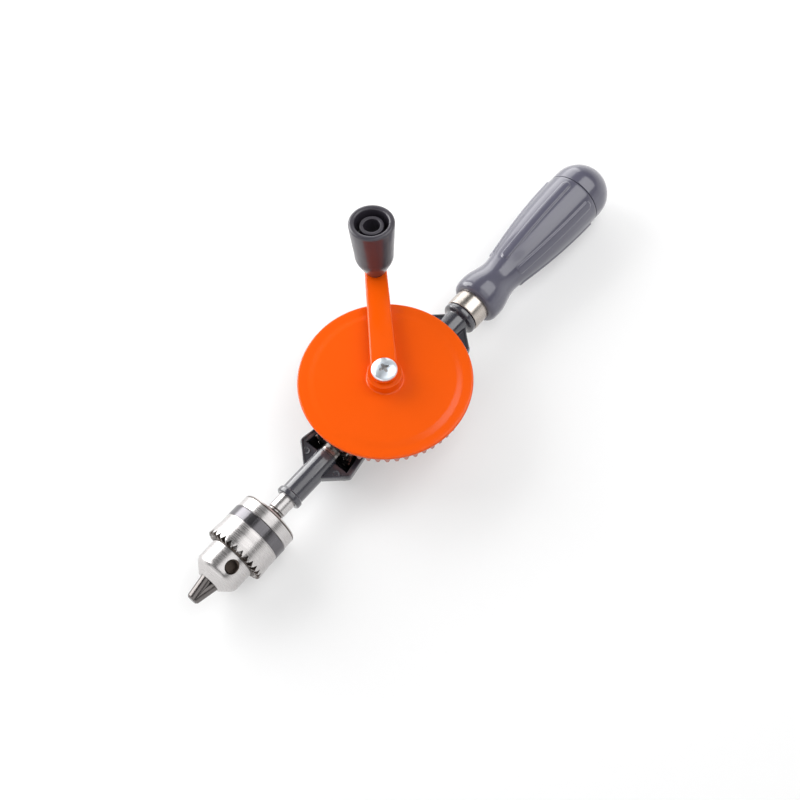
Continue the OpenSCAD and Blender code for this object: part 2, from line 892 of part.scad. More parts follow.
// Point on the knob's cone, at a share of its length
function cone_at(share) = [
  knob_base_d / 2 + share * (knob_waist_d - knob_base_d) / 2,
  share * knob_cone_len
];

module knob_pin() {
  color(steel)
    at_knob()
      union() {
        translate([0, 0, -arm_t])
          cylinder(h = arm_t + 1, d = knob_tenon_d);
        cylinder(h = knob_floor + 3 * face_gap, d = knob_pin_d);
        translate([0, 0, knob_floor + 2 * face_gap])
          cylinder(h = knob_head_h, d = knob_head_d);
      }
}

module crank_knob() {
  rim_r = 1.6;
  base_z = face_gap;
  waist_end = [knob_waist_d / 2 + 0.1, 1.3 * knob_cone_len];
  color(charcoal)
    at_knob()
      translate([0, 0, base_z])
        difference() {
          turned_z(concat(
            [[0, 0], [knob_base_d / 2, 0]],
            curve(cone_at(0.75), cone_at(1), [knob_waist_d / 2, knob_cone_len], waist_end, 6),
            [waist_end, [knob_d / 2, knob_len - 2 * rim_r]],
            [
              for (i = [0 : 15 : 90])
                [knob_d / 2 - rim_r + rim_r * cos(i), knob_len - rim_r + rim_r * sin(i)]
            ],
            [[0, knob_len]]
          ));
          translate([0, 0, knob_len - knob_mouth_depth])
            difference() {
              cylinder(h = knob_mouth_depth + 1, d = knob_mouth_d);
              cylinder(h = knob_mouth_depth - knob_core_drop, d = knob_core_d);
            }
          translate([0, 0, knob_floor])
            cylinder(h = knob_hole_depth + 1, d = knob_hole_d);
          translate([0, 0, -1])
            cylinder(h = knob_len, d = knob_pin_d + 2 * running_gap);
        }
}

module spindle() {
  thread_front_x = chuck_end_x + chuck_thread_len;
  color(steel)
    difference() {
      turned([
        [axle_x + blind_end, 0],
        [axle_x + blind_end, journal_d / 2],
        [axle_x + hub_end, journal_d / 2],
        [axle_x + hub_end, seat_d / 2],
        [axle_x + collar_end, seat_d / 2],
        [axle_x + collar_end, spindle_d / 2],
        [chuck_end_x, spindle_d / 2],
        [chuck_end_x, chuck_thread_d / 2],
        [thread_front_x - 1, chuck_thread_d / 2],
        [thread_front_x, chuck_thread_d / 2 - 1],
        [thread_front_x, 0]
      ]);
      at_pinion_pin()
        cylinder(h = far, d = pinion_pin_d + 2 * seat_gap, center = true);
    }
}

module at_pinion_pin() {
  translate([axle_x + hub_end + pinion_hub_len / 2, 0, 0])
    rotate([90, 0, 0])
      children();
}

module front_washer() {
  from = collar_end + face_gap;
  color(steel)
    at_axle()
      ring_x(from, from + washer_t, pinion_collar_d, spindle_d + 4 * running_gap);
}

module thrust_washer() {
  from = hub_end - face_gap;
  color(steel)
    at_axle()
      ring_x(from, from - washer_t, pinion_hub_d, journal_d + 4 * running_gap);
}

module drive_pinion() {
  color(dark_steel)
    difference() {
      at_axle()
        bevel_pinion(seat_d + 2 * seat_gap);
      at_pinion_pin()
        cylinder(h = far, d = pinion_pin_d + 2 * seat_gap, center = true);
    }
}

module pinion_pin() {
  color(steel)
    at_pinion_pin()
      cylinder(h = pinion_hub_d - 0.6, d = pinion_pin_d, center = true);
}

// Places its children so that their +X runs along a jaw's slanted line, towards the mouth
module at_jaw(i) {
  rotate([-(pilot_angle + 60 + i * 120), 0, 0])
    translate([0, 0, jaw_line_r])
      rotate([0, jaw_angle, 0])
        children();
}

module chuck_body() {
  nose_turn = atan2((nose_d - nose_face_d) / 2, nose_cone_len);
  round_x = -nose_cone_len - nose_round * tan(nose_turn / 2);
  color(steel)
    difference() {
      turned([
        [0, 0],
        [0, nose_face_d / 2],
        for (i = [6 : -1 : 0])
          let (turn = nose_turn * i / 6)
            [round_x + nose_round * sin(turn), nose_d / 2 - nose_round * (1 - cos(turn))],
        [nut_x + face_gap, nose_d / 2],
        [nut_x + face_gap, jaw_mouth_d / 2 - nut_x * jaw_slope - nut_clear],
        [nut_end_x - face_gap, jaw_mouth_d / 2 - nut_x * jaw_slope - nut_clear],
        [nut_end_x - face_gap, core_r],
        [tail_x, core_r],
        [tail_x, tail_d / 2],
        [chuck_end_x + tail_chamfer, tail_d / 2],
        [chuck_end_x, tail_d / 2 - tail_chamfer],
        [chuck_end_x, 0]
      ]);
      bar_x(shank_bore_end_x, 1, shank_bore_d);
      bar_x(chuck_end_x - 1, chuck_end_x + chuck_thread_len + 0.4, chuck_thread_d + 2 * seat_gap);
      for (i = [0 : 2]) {
        at_jaw(i)
          bar_x(-far, far / 2, jaw_d + 2 * running_gap);
        rotate([-(pilot_angle + i * 120), 0, 0])
          translate([pilot_x, 0, nose_d / 2 - pilot_depth]) {
            cylinder(h = pilot_depth + 1, d = pilot_d);
            translate([0, 0, pilot_depth - pilot_chamfer - 0.3])
              cylinder(h = pilot_chamfer + 1, d1 = pilot_d, d2 = pilot_d + 2 * (pilot_chamfer + 1));
          }
      }
    }
}

// Threaded ring in two halves, pressed into the sleeve; its bore follows the jaws' outer lines
module chuck_nut() {
  color(dark_steel)
    difference() {
      turned([
        [nut_x, sleeve_bore_r - seat_gap],
        [nut_end_x, sleeve_bore_r - seat_gap],
        [nut_end_x, jaw_mouth_d / 2 - nut_end_x * jaw_slope + nut_clear],
        [nut_x, jaw_mouth_d / 2 - nut_x * jaw_slope + nut_clear]
      ]);
      translate([nut_end_x - 1, -nut_split / 2, -rim_d])
        cube([nut_len + 2, nut_split, 2 * rim_d]);
    }
}

// Toothed sleeve: a shell round the body with a lip before the ring
module chuck_sleeve() {
  notch_half = 0.36 * PI * rim_d / sleeve_teeth;
  front_cone = 0.7;
  lip_r = nose_d / 2 + 1.5 * face_gap;
  color(steel)
    difference() {
      turned([
        [sleeve_x, lip_r],
        [sleeve_x, lip_r + 0.4],
        [sleeve_x - front_cone, rim_d / 2 - 0.3],
        [sleeve_x - front_cone - 0.3, rim_d / 2],
        [sleeve_x - rim_len, rim_d / 2],
        [sleeve_x - rim_len - 0.4, sleeve_d / 2],
        [sleeve_end_x + 0.3, sleeve_d / 2],
        [sleeve_end_x, sleeve_d / 2 - 0.3],
        [sleeve_end_x, sleeve_bore_r],
        [nut_x, sleeve_bore_r],
        [nut_x, lip_r]
      ]);
      for (i = [0 : sleeve_teeth - 1])
        rotate([i * 360 / sleeve_teeth, 0, 0])
          translate([sleeve_x, 0, sleeve_bore_r])
            linear_extrude(height = rim_d)
              polygon([
                [-sleeve_tooth_depth, -0.15 * notch_half], [0.1, -notch_half],
                [0.1, notch_half], [-sleeve_tooth_depth, 0.15 * notch_half]
              ]);
    }
}

// Jaw: a slanted pin, cut to a third of a turn where the three meet
module jaw(i) {
  apex = jaw_gap / 2 / sin(60);
  side = rim_d * sin(60);
  color(dark_steel)
    intersection() {
      at_jaw(i)
        bar_x(jaw_end_x / cos(jaw_angle), far / 2, jaw_d);
      rotate([-(pilot_angle + 60 + i * 120), 0, 0])
        translate([-far, 0, 0])
          rotate([0, 90, 0])
            linear_extrude(height = far + jaw_reach)
              polygon([[-apex, 0], [-apex - rim_d / 2, side], [-apex - rim_d / 2, -side]]);
      turned([
        [-far, 0],
        [-far, rim_d],
        [jaw_reach - jaw_chamfer, rim_d],
        [jaw_reach - jaw_chamfer, jaw_mouth_d / 2 - jaw_reach * jaw_slope],
        [jaw_reach, jaw_mouth_d / 2 - jaw_reach * jaw_slope - jaw_chamfer],
        [jaw_reach, 0]
      ]);
    }
}

module jaw_1() { jaw(0); }
module jaw_2() { jaw(1); }
module jaw_3() { jaw(2); }

frame();
idler_axle();
idler_front_washer();
idler_rear_washer();
idler_pinion();
handle_rod();
rod_washer();
rod_nut();
ferrule();
handle();
end_cap();
gear_wheel();
wheel_axle();
axle_washer();
axle_clip();
crank_arm();
arm_screw();
knob_pin();
crank_knob();
spindle();
front_washer();
thrust_washer();
drive_pinion();
pinion_pin();
chuck_body();
chuck_nut();
chuck_sleeve();
jaw_1();
jaw_2();
jaw_3();
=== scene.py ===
import json
import math

import bmesh
import bpy
import numpy as np
from bpy.props import FloatProperty, FloatVectorProperty, IntProperty, PointerProperty
from mathutils import Euler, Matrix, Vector


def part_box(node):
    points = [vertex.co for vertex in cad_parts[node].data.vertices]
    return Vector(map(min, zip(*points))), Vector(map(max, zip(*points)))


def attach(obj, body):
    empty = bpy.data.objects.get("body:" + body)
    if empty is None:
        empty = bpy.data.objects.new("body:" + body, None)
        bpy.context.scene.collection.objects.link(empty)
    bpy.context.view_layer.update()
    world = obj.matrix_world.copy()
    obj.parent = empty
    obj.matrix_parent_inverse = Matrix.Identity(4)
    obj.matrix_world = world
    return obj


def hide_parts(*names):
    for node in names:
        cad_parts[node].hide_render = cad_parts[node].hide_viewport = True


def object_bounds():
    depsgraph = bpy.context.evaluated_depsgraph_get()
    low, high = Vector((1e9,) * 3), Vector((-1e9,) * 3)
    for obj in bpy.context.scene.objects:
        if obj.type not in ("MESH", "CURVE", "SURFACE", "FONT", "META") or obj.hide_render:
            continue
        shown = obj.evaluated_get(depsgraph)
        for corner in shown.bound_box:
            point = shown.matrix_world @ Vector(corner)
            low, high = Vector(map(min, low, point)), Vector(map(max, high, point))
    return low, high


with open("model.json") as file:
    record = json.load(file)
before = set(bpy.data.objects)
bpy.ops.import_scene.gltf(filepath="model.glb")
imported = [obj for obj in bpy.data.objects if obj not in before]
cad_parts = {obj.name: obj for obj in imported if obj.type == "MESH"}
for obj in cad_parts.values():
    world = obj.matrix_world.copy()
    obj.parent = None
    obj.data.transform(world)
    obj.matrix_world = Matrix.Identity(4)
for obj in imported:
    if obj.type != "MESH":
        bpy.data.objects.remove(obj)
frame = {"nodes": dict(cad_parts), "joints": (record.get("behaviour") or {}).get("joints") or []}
CAD_BOX = [list(corner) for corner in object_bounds()]

bl_info = {
    "name": "Hand drill looks",
    "version": (1, 0, 0),
    "blender": (4, 5, 0),
    "location": "View3D > Sidebar > Drill",
    "description": "Builds the visible surfaces of an eggbeater hand drill round its CAD frame",
    "category": "Object",
}

MM = 0.001
JOINTS = {joint["name"]: joint for joint in frame["joints"]}


def span(node, axis):
    """Lowest and highest place of a CAD node at rest along an axis from 0 to 2, in millimetres."""
    low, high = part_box(node)
    return low[axis] / MM, high[axis] / MM


def joint_place(name):
    """Point and direction of a joint's axis, the point in millimetres."""
    joint = JOINTS[name]
    return np.array(joint["pos_m"], float) / MM, np.array(joint["axis"], float)


# Places along the spindle and radii about it, in millimetres, read from the CAD frame
AXLE = joint_place("crank_turn")[0]
CHUCK_END = span("chuck_body", 0)[0]
SLEEVE_END, SLEEVE_FRONT = span("chuck_sleeve", 0)
RIM_R = span("chuck_sleeve", 1)[1]
SPINDLE_BACK, SPINDLE_FRONT = span("spindle", 0)
SPINDLE_R = span("spindle", 1)[1]
PINION_BACK, PINION_FRONT = span("drive_pinion", 0)
FRAME_BACK, FRAME_FRONT = span("frame", 0)
YOKE_HALF = span("frame", 1)[1]
FERRULE_BACK, FERRULE_FRONT = span("ferrule", 0)
FERRULE_R = span("ferrule", 1)[1]
SEAM = span("handle", 0)[0]
CAP_END = span("end_cap", 0)[0]
CAP_R = span("end_cap", 1)[1]

# Heights above the spindle's axis and radii about the wheel's axle, in millimetres
WHEEL_R = span("gear_wheel", 0)[1] - AXLE[0]
BOSS_TOP = span("gear_wheel", 2)[1]
ARM_TOP = span("crank_arm", 2)[1]
SCREW_TOP = span("arm_screw", 2)[1]
SCREW_R = span("arm_screw", 1)[1]
KNOB_FOOT, KNOB_AXIS = joint_place("knob_spin")

# Directions of a surface of revolution: along its axis, then two across it
ALONG_X = np.array([[1.0, 0.0, 0.0], [0.0, 1.0, 0.0], [0.0, 0.0, 1.0]])
ALONG_Z = np.array([[0.0, 0.0, 1.0], [1.0, 0.0, 0.0], [0.0, 1.0, 0.0]])


# Surfaces

def rounded_line(corners, steps=5):
    """Line through corners given as (a, b, radius), where each inner corner becomes an arc.

    The arc touches both sides at the distance radius / tan(half the corner's angle) from the corner.
    """
    points = [np.array(corners[0][:2], float)]
    for before, corner, after in zip(corners, corners[1:], corners[2:]):
        here = np.array(corner[:2], float)
        if corner[2] <= 0:
            points.append(here)
            continue
        u = np.array(before[:2], float) - here
        v = np.array(after[:2], float) - here
        u /= np.linalg.norm(u)
        v /= np.linalg.norm(v)
        half = math.acos(float(np.clip(u @ v, -1, 1))) / 2
        reach = corner[2] / math.tan(half)
        centre = here + (u + v) / np.linalg.norm(u + v) * corner[2] / math.sin(half)
        start, end = here + u * reach - centre, here + v * reach - centre
        share = np.linspace(0, 1, steps + 1)[:, None]
        arc = start * (1 - share) + end * share
        arc *= corner[2] / np.linalg.norm(arc, axis=1, keepdims=True)
        points.extend(centre + arc)
    points.append(np.array(corners[-1][:2], float))
    return np.array(points)


def cubic(a, b, c, d, count):
    """Points of a cubic curve, each the mean of a, b, c and d weighted by the Bernstein polynomials."""
    t = np.linspace(0, 1, count)[:, None]
    a, b, c, d = (np.array(p, float) for p in (a, b, c, d))
    return (1 - t) ** 3 * a + 3 * (1 - t) ** 2 * t * b + 3 * (1 - t) * t**2 * c + t**3 * d


def ease(value):
    """Smooth step from 0 to 1: three times the square less twice the cube of the value, held to 0 and 1."""
    value = np.clip(value, 0, 1)
    return value * value * (3 - 2 * value)


def revolved(along, radius, angle, basis=ALONG_X, origin=(0, 0, 0)):
    """Grid of points round an axis: origin + along * axis + radius * (cos angle * across + sin angle * third)."""
    along, radius, angle = np.broadcast_arrays(along, radius, angle)
    return (
        np.asarray(origin, float)
        + along[..., None] * basis[0]
        + (radius * np.cos(angle))[..., None] * basis[1]
        + (radius * np.sin(angle))[..., None] * basis[2]
    )


def sheet(points, close_rows=False, close_columns=True):
    """Four-sided faces over a grid of points: each joins a point, the next in its row and the two beside them."""
    rows, columns = points.shape[:2]
    i = np.arange(rows if close_rows else rows - 1)[:, None]
    j = np.arange(columns if close_columns else columns - 1)[None, :]
    below, beside = (i + 1) % rows, (j + 1) % columns
    corners = [i * columns + j, i * columns + beside, below * columns + beside, below * columns + j]
    faces = np.stack([np.broadcast_to(c, (i.size, j.size)) for c in corners], axis=-1)
    return points.reshape(-1, 3), faces.reshape(-1, 4)


def lathe(profile, count, basis=ALONG_X, origin=(0, 0, 0), loop=False):
    """Profile of (along, radius) turned round an axis.

    A profile that starts and ends at radius 0 is closed by poles. With loop, its end joins its start, as in a ring.
    """
    profile = np.asarray(profile, float)
    angle = np.linspace(0, 2 * np.pi, count, endpoint=False)
    points = revolved(profile[:, :1], profile[:, 1:2], angle[None, :], basis, origin)
    return sheet(points, close_rows=loop)


def ring(corners, count, basis=ALONG_X, origin=(0, 0, 0), steps=5):
    """Closed ring: a line with rounded corners, whose end joins its start, turned round an axis."""
    return lathe(rounded_line(corners, steps), count, basis, origin, loop=True)


def widened(line, column, count):
    """One column of a profile, repeated count times side by side as a grid."""
    return np.broadcast_to(line[:, column:column + 1], (len(line), count))


def slab(x, half_width, half_height, origin):
    """Flat plate along X: at each x a rectangle of plus and minus half_width by half_height, with closed ends."""
    x, half_width, half_height = (np.asarray(v, float) for v in (x, half_width, half_height))
    across = np.array([-1, 1, 1, -1])
    up = np.array([-1, -1, 1, 1])
    x = np.concatenate([x[:1], x, x[-1:]])
    wide = np.concatenate([[0], half_width, [0]])
    high = np.concatenate([[0], half_height, [0]])
    points = np.stack(np.broadcast_arrays(x[:, None], wide[:, None] * across, high[:, None] * up), axis=-1)
    return sheet(points + np.asarray(origin, float))


def swept(path, section):
    """Section of (across, up) carried round a closed flat path: point + across * the path's normal + up * Z."""
    ahead = np.roll(path, -1, axis=0) - path
    ahead /= np.linalg.norm(ahead, axis=1, keepdims=True)
    along = ahead + np.roll(ahead, 1, axis=0)
    along /= np.linalg.norm(along, axis=1, keepdims=True)
    normal = np.stack([along[:, 1], -along[:, 0]], axis=1)
    flat = path[:, None, :] + section[None, :, :1] * normal[:, None, :]
    high = np.broadcast_to(section[None, :, 1:2], flat.shape[:2] + (1,))
    return sheet(np.concatenate([flat, high], axis=-1), close_rows=True)


def shifted(part, offset):
    """The same faces with every point moved by an offset."""
    return part[0] + np.asarray(offset, float), part[1]


def marked(part, marks):
    """The same part with a mark of 0 or 1 for each of its faces."""
    return (*part, marks.ravel())


def add_piece(name, parts, look, body, nodes=(), sharp=38.0, second=None):
    """Makes one mesh object from parts given in millimetres, ties it to its body and hides the CAD nodes it
    replaces.

    Faces whose mark is 1 take the second finish.
    """
    starts = np.cumsum([0] + [len(part[0]) for part in parts])
    points = np.concatenate([part[0] for part in parts]) * MM
    faces = np.concatenate([part[1] + start for part, start in zip(parts, starts)])
    marks = np.concatenate([part[2] if len(part) > 2 else np.zeros(len(part[1]), int) for part in parts])
    if not np.isfinite(points).all():
        raise ValueError(f"{name} has points that are not numbers")
    mesh = bpy.data.meshes.new(name)
    mesh.vertices.add(len(points))
    mesh.vertices.foreach_set("co", points.astype(np.float32).ravel())
    mesh.loops.add(faces.size)
    mesh.loops.foreach_set("vertex_index", faces.astype(np.int32).ravel())
    mesh.polygons.add(len(faces))
    mesh.polygons.foreach_set("loop_start", np.arange(0, faces.size, 4, dtype=np.int32))
    if second:
        mesh.polygons.foreach_set("material_index", marks.astype(np.int32))
    mesh.update(calc_edges=True)
    joined = bmesh.new()
    joined.from_mesh(mesh)
    bmesh.ops.remove_doubles(joined, verts=joined.verts, dist=4e-7)
    bmesh.ops.recalc_face_normals(joined, faces=joined.faces)
    joined.to_mesh(mesh)
    joined.free()
    if not len(mesh.polygons):
        raise ValueError(f"{name} has no faces")
    mesh.shade_smooth()
    mesh.set_sharp_from_angle(angle=math.radians(sharp))
    mesh.materials.append(look)
    if second:
        mesh.materials.append(second)
    piece = bpy.data.objects.new(name, mesh)
    bpy.context.scene.collection.objects.link(piece)
    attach(piece, body)
    if nodes:
        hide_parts(*nodes)
    return piece


def paint_nodes(look, *nodes):
    """Gives CAD nodes that stay in view a finish."""
    for node in nodes:
        mesh = frame["nodes"][node].data
        mesh.materials.clear()
        mesh.materials.append(look)


# Finishes

# Settings of each finish: the group and name of its colour in the settings, or the colour itself, then the shader's
# values. Turning marks and drawn bands come from noise stretched along the axes.
FINISHES = {
    "wheel_enamel": (("wheel", "paint"), dict(
        rough=0.17, rough_range=0.03, tint=0.03, tint_scale=35.0, grain_scale=1400.0, grain=0.12, shine=0.33)),
    "turned_steel": (("chuck", "steel"), dict(
        metallic=1.0, rough=0.27, rough_range=0.06, tint_scale=1.0, stretch=(2600.0, 90.0, 90.0),
        grain_scale=2500.0, grain=0.08)),
    # Tooth steel whose pink tint is partly a painted reflection of the orange wheel
    "bare_steel": (("wheel", "edge"), dict(
        metallic=1.0, rough=0.4, rough_range=0.08, tint=0.08, tint_scale=180.0, grain_scale=1800.0, grain=0.15)),
    "plain_steel": (("chuck", "steel"), dict(
        metallic=1.0, rough_range=0.06, tint=0.06, tint_scale=250.0, grain_scale=2200.0, grain=0.1)),
    "zinc_plate": (("crank", "screw"), dict(
        metallic=1.0, rough=0.34, rough_range=0.06, tint_scale=300.0, grain_scale=1600.0, grain=0.1)),
    "knob_plastic": (("crank", "knob"), dict(
        rough=0.38, tint=0.06, tint_scale=90.0, grain_scale=1800.0, grain=0.2, coat=0.4)),
    "handle_plastic": (("handle", "plastic"), dict(
        rough_range=0.03, tint=0.03, tint_scale=50.0, grain_scale=2600.0, grain=0.1, coat=0.8)),
    "nickel_plate": (("handle", "nickel"), dict(
        metallic=1.0, rough=0.27, rough_range=0.04, tint=0.04, tint_scale=120.0, grain_scale=1200.0, grain=0.06)),
    "frame_enamel": (("casting", "paint"), dict(
        rough=0.24, tint=0.06, tint_scale=120.0, grain_scale=700.0, grain_depth=0.00002, grain=0.15, coat=0.8,
        shine=0.8)),
    # Near-black inside of the gear cases: grease, and painted shade that keeps the windows dark
    "dark_grease": (("casting", "grease"), dict(
        rough=0.45, rough_range=0.1, tint=0.3, tint_scale=200.0, grain_depth=0.00005, grain=0.4)),
    # Dark steel for holes, grooves, notches and an edge: partly oil, partly painted shade where these recesses lie
    # in shadow
    "oily_steel": (("chuck", "oil"), dict(
        metallic=1.0, rough=0.36, rough_range=0.1, tint=0.3, tint_scale=400.0, grain_scale=1500.0, grain=0.2)),
    "satin_band": (("chuck", "satin"), dict(
        metallic=1.0, rough=0.22, rough_range=0.06, tint=0.25, tint_scale=1.0, stretch=(60.0, 1500.0, 1500.0),
        grain_scale=1.6, grain_depth=0.00006, grain=0.5, drawn_grain=True)),
    "jaw_steel": ((0.16, 0.147, 0.143), dict(
        metallic=1.0, rough=0.22, rough_range=0.07, tint=0.12, tint_scale=260.0, stretch=(0.4, 3.0, 3.0),
        grain_scale=1700.0, grain=0.15)),
    "hard_steel": ((0.3, 0.3, 0.31), dict(
        metallic=1.0, rough=0.4, rough_range=0.08, tint=0.1, tint_scale=300.0, grain_scale=1500.0, grain=0.2)),
    # Pinion steel, darker than the bright steel partly as painted shade inside the windows
    "gear_steel": ((0.27, 0.25, 0.24), dict(
        metallic=1.0, rough=0.22, rough_range=0.08, tint=0.25, tint_scale=240.0, grain_scale=1500.0, grain=0.2)),
    # Dark steel of the washers by the pinions: painted shade of the gear windows
    "blued_steel": ((0.13, 0.125, 0.13), dict(
        metallic=1.0, rough_range=0.08, tint=0.25, tint_scale=240.0, grain_scale=1500.0, grain=0.2)),
    "floor_white": (("stage", "floor"), dict(
        rough=0.9, rough_range=0.02, tint=0.004, tint_scale=3.0, grain_scale=200.0, grain=0.01)),
}


def add_node(tree, kind, place, **values):
    """Adds a shader node with values on its own sockets, whose names are written with _ for spaces."""
    node = tree.nodes.new("ShaderNode" + kind)
    node.location = place
    for key, value in values.items():
        node.inputs[key.replace("_", " ")].default_value = value
    return node


def join(tree, *links):
    """Joins sockets given as (source node, its output, target node, its input)."""
    for source, output, target, socket in links:
        tree.links.new(source.outputs[output], target.inputs[socket])


def finish(looks, name):
    """The named finish of the table, made when it is first asked for."""
    label = "drill_" + name
    if label in bpy.data.materials:
        return bpy.data.materials[label]
    colour, values = FINISHES[name]
    if isinstance(colour[0], str):
        colour = getattr(getattr(looks, colour[0]), colour[1])
    return noise_finish(label, colour, **values)


def noise_finish(label, colour, metallic=0.0, rough=0.3, rough_range=0.05, tint=0.05, tint_scale=60.0,
                 stretch=(1.0, 1.0, 1.0), grain_scale=900.0, grain_depth=0.00001, grain=0.3, coat=0.0, shine=0.5,
                 drawn_grain=False):
    """Procedural finish in object coordinates.

    One noise, stretched along the axes, shifts the colour and the roughness about their means;
    a finer noise, which can be stretched too, gives the surface its grain as a bump.
    """
    material = bpy.data.materials.new(label)
    material.use_nodes = True
    tree = material.node_tree
    tree.nodes.clear()
    out = add_node(tree, "OutputMaterial", (600, 0))
    shader = add_node(tree, "BsdfPrincipled", (300, 0), Metallic=metallic, Coat_Weight=coat, Coat_Roughness=0.06,
                      Specular_IOR_Level=shine)
    where = add_node(tree, "TexCoord", (-900, 0))
    drawn = add_node(tree, "Mapping", (-700, 100), Scale=stretch)
    broad = add_node(tree, "TexNoise", (-500, 100), Scale=tint_scale, Detail=5.0, Roughness=0.6)
    fine = add_node(tree, "TexNoise", (-500, -250), Scale=grain_scale, Detail=3.0, Roughness=0.5)
    mix = add_node(tree, "Mix", (0, 150))
    mix.data_type = "RGBA"
    mix.inputs[6].default_value = [c * (1 - tint) for c in colour] + [1]
    mix.inputs[7].default_value = [min(1, c * (1 + tint)) for c in colour] + [1]
    level = add_node(tree, "MapRange", (0, -50), From_Min=0.3, From_Max=0.7,
                     To_Min=max(0.02, rough - rough_range), To_Max=min(1.0, rough + rough_range))
    bump = add_node(tree, "Bump", (0, -300), Strength=grain, Distance=grain_depth)
    grain_from = (drawn, "Vector") if drawn_grain else (where, "Object")
    join(
        tree,
        (where, "Object", drawn, "Vector"),
        (drawn, "Vector", broad, "Vector"),
        (*grain_from, fine, "Vector"),
        (broad, "Fac", mix, 0),
        (mix, 2, shader, "Base Color"),
        (broad, "Fac", level, "Value"),
        (level, "Result", shader, "Roughness"),
        (fine, "Fac", bump, "Height"),
        (bump, "Normal", shader, "Normal"),
        (shader, "BSDF", out, "Surface"),
    )
    return material


# Settings

def length_setting(name, description, default, low, high):
    """A setting that is a length in metres."""
    return FloatProperty(name=name, description=description, default=default, min=low, max=high, unit="LENGTH")


def colour_setting(name, description, default):
    """A setting that is a colour."""
    return FloatVectorProperty(name=name, description=description, default=default, min=0, max=1, subtype="COLOR")


class DrillWheelLooks(bpy.types.PropertyGroup):
    """Sizes and colours of the gear wheel"""

    crown: length_setting("Crown", "Step down of the wheel's face towards its edge", 0.0004, 0, 0.002)
    edge_round: length_setting("Edge rounding", "Radius of the rim's painted edge", 0.0010, 0.0003, 0.0015)
    paint: colour_setting("Paint", "Colour of the wheel's and the arm's enamel", (0.80, 0.090, 0.0003))
    # The pink tint of the edge colour is partly a painted reflection of the orange wheel
    edge: colour_setting("Bare edge", "Colour of the machined edge and teeth", (0.50, 0.25, 0.21))


class DrillCrankLooks(bpy.types.PropertyGroup):
    """Sizes and colours of the arm, its screw and the knob"""

    arm_round: length_setting("Arm edge rounding", "Radius along the arm's edges", 0.0011, 0.0002, 0.0013)
    recess: length_setting("Recess size", "Reach of the screw's cross recess from its middle", 0.0031, 0.002, 0.005)
    screw: colour_setting("Screw", "Colour of the zinc plate", (0.76, 0.82, 0.88))
    knob: colour_setting("Knob", "Colour of the knob's plastic", (0.034, 0.030, 0.041))


class DrillChuckLooks(bpy.types.PropertyGroup):
    """Sizes and colours of the chuck and the spindle"""

    teeth: IntProperty(name="Sleeve teeth", description="Number of teeth round the sleeve's front edge",
                       default=28, min=20, max=32)
    band: length_setting("Satin band", "Length of the dark band at the sleeve's rear", 0.0064, 0.003, 0.010)
    pitch: length_setting("Thread pitch", "Pitch of the thread on the spindle's neck", 0.0015, 0.0008, 0.003)
    steel: colour_setting("Steel", "Colour of the bright steel", (0.57, 0.55, 0.545))
    satin: colour_setting("Band colour", "Colour of the satin band", (0.15, 0.145, 0.155))
    # Partly oil, partly painted shade in holes, grooves and notches
    oil: colour_setting("Oily steel", "Colour of the steel in holes, grooves and notches", (0.085, 0.068, 0.058))


class DrillCastingLooks(bpy.types.PropertyGroup):
    """Sizes and colours of the cast frame"""

    rail_round: length_setting("Rail rounding", "Radius along the rails' edges", 0.00045, 0.0002, 0.0006)
    paint: colour_setting("Paint", "Colour of the frame's enamel", (0.034, 0.034, 0.046))
    # Grease colour, also painted shade inside the gear cases
    grease: colour_setting("Grease", "Colour of the grease inside the gear cases", (0.012, 0.011, 0.012))


class DrillHandleLooks(bpy.types.PropertyGroup):
    """Sizes and colours of the handle, its cap and the ferrule"""

    rib_height: length_setting("Rib height", "Height of the raised ribs", 0.0007, 0.0002, 0.0012)
    rib_width: length_setting("Rib width", "Width of the raised ribs", 0.005, 0.003, 0.007)
    plastic: colour_setting("Plastic", "Colour of the handle's plastic", (0.078, 0.076, 0.112))
    nickel: colour_setting("Ferrule", "Colour of the ferrule's nickel plate", (0.50, 0.455, 0.415))


class DrillStageLooks(bpy.types.PropertyGroup):
    """Light and floor"""

    lamp: FloatProperty(name="Lamp power", description="Power that the lamps' shares are taken of, in watts",
                        default=8.2, min=1, max=40)
    lift: FloatProperty(name="Background lift", description="Light added to the floor near the drill",
                        default=0.3, min=0, max=1)
    ceiling: FloatProperty(name="Ceiling", description="Light from overhead between the lamps",
                           default=0.20, min=0, max=1)
    floor: colour_setting("Floor", "Colour of the floor", (0.62, 0.62, 0.62))


class DrillLooks(bpy.types.PropertyGroup):
    """All settings of the drill's looks"""

    wheel: PointerProperty(type=DrillWheelLooks)
    crank: PointerProperty(type=DrillCrankLooks)
    chuck: PointerProperty(type=DrillChuckLooks)
    casting: PointerProperty(type=DrillCastingLooks)
    handle: PointerProperty(type=DrillHandleLooks)
    stage: PointerProperty(type=DrillStageLooks)


# Gear wheel

WHEEL_TEETH = 56
FACE_Z = BOSS_TOP - 6.0
LIP_Z = FACE_Z - 1.8
ROOT_OUT, ROOT_IN = np.array([45.70, 13.89]), np.array([37.07, 11.27])
TIP_OUT, TIP_IN = np.array([46.20, 10.29]), np.array([37.80, 8.34])
TOOTH_ROOT_HALF, TOOTH_TIP_HALF, TOOTH_CHAMFER, TOOTH_STEPS = 0.0455, 0.0125, 0.25, 18
STEP_START, STEP_RUN = 38.0, 5.0
HUB_LOW, BORE_R, WHEEL_HUB_R, WHEEL_BOSS_R = 9.4, 5.0, 12.0, 9.7
SKIRT_LOW, SKIRT_IN, HOLLOW_TOP = 11.27, 36.6, 15.8


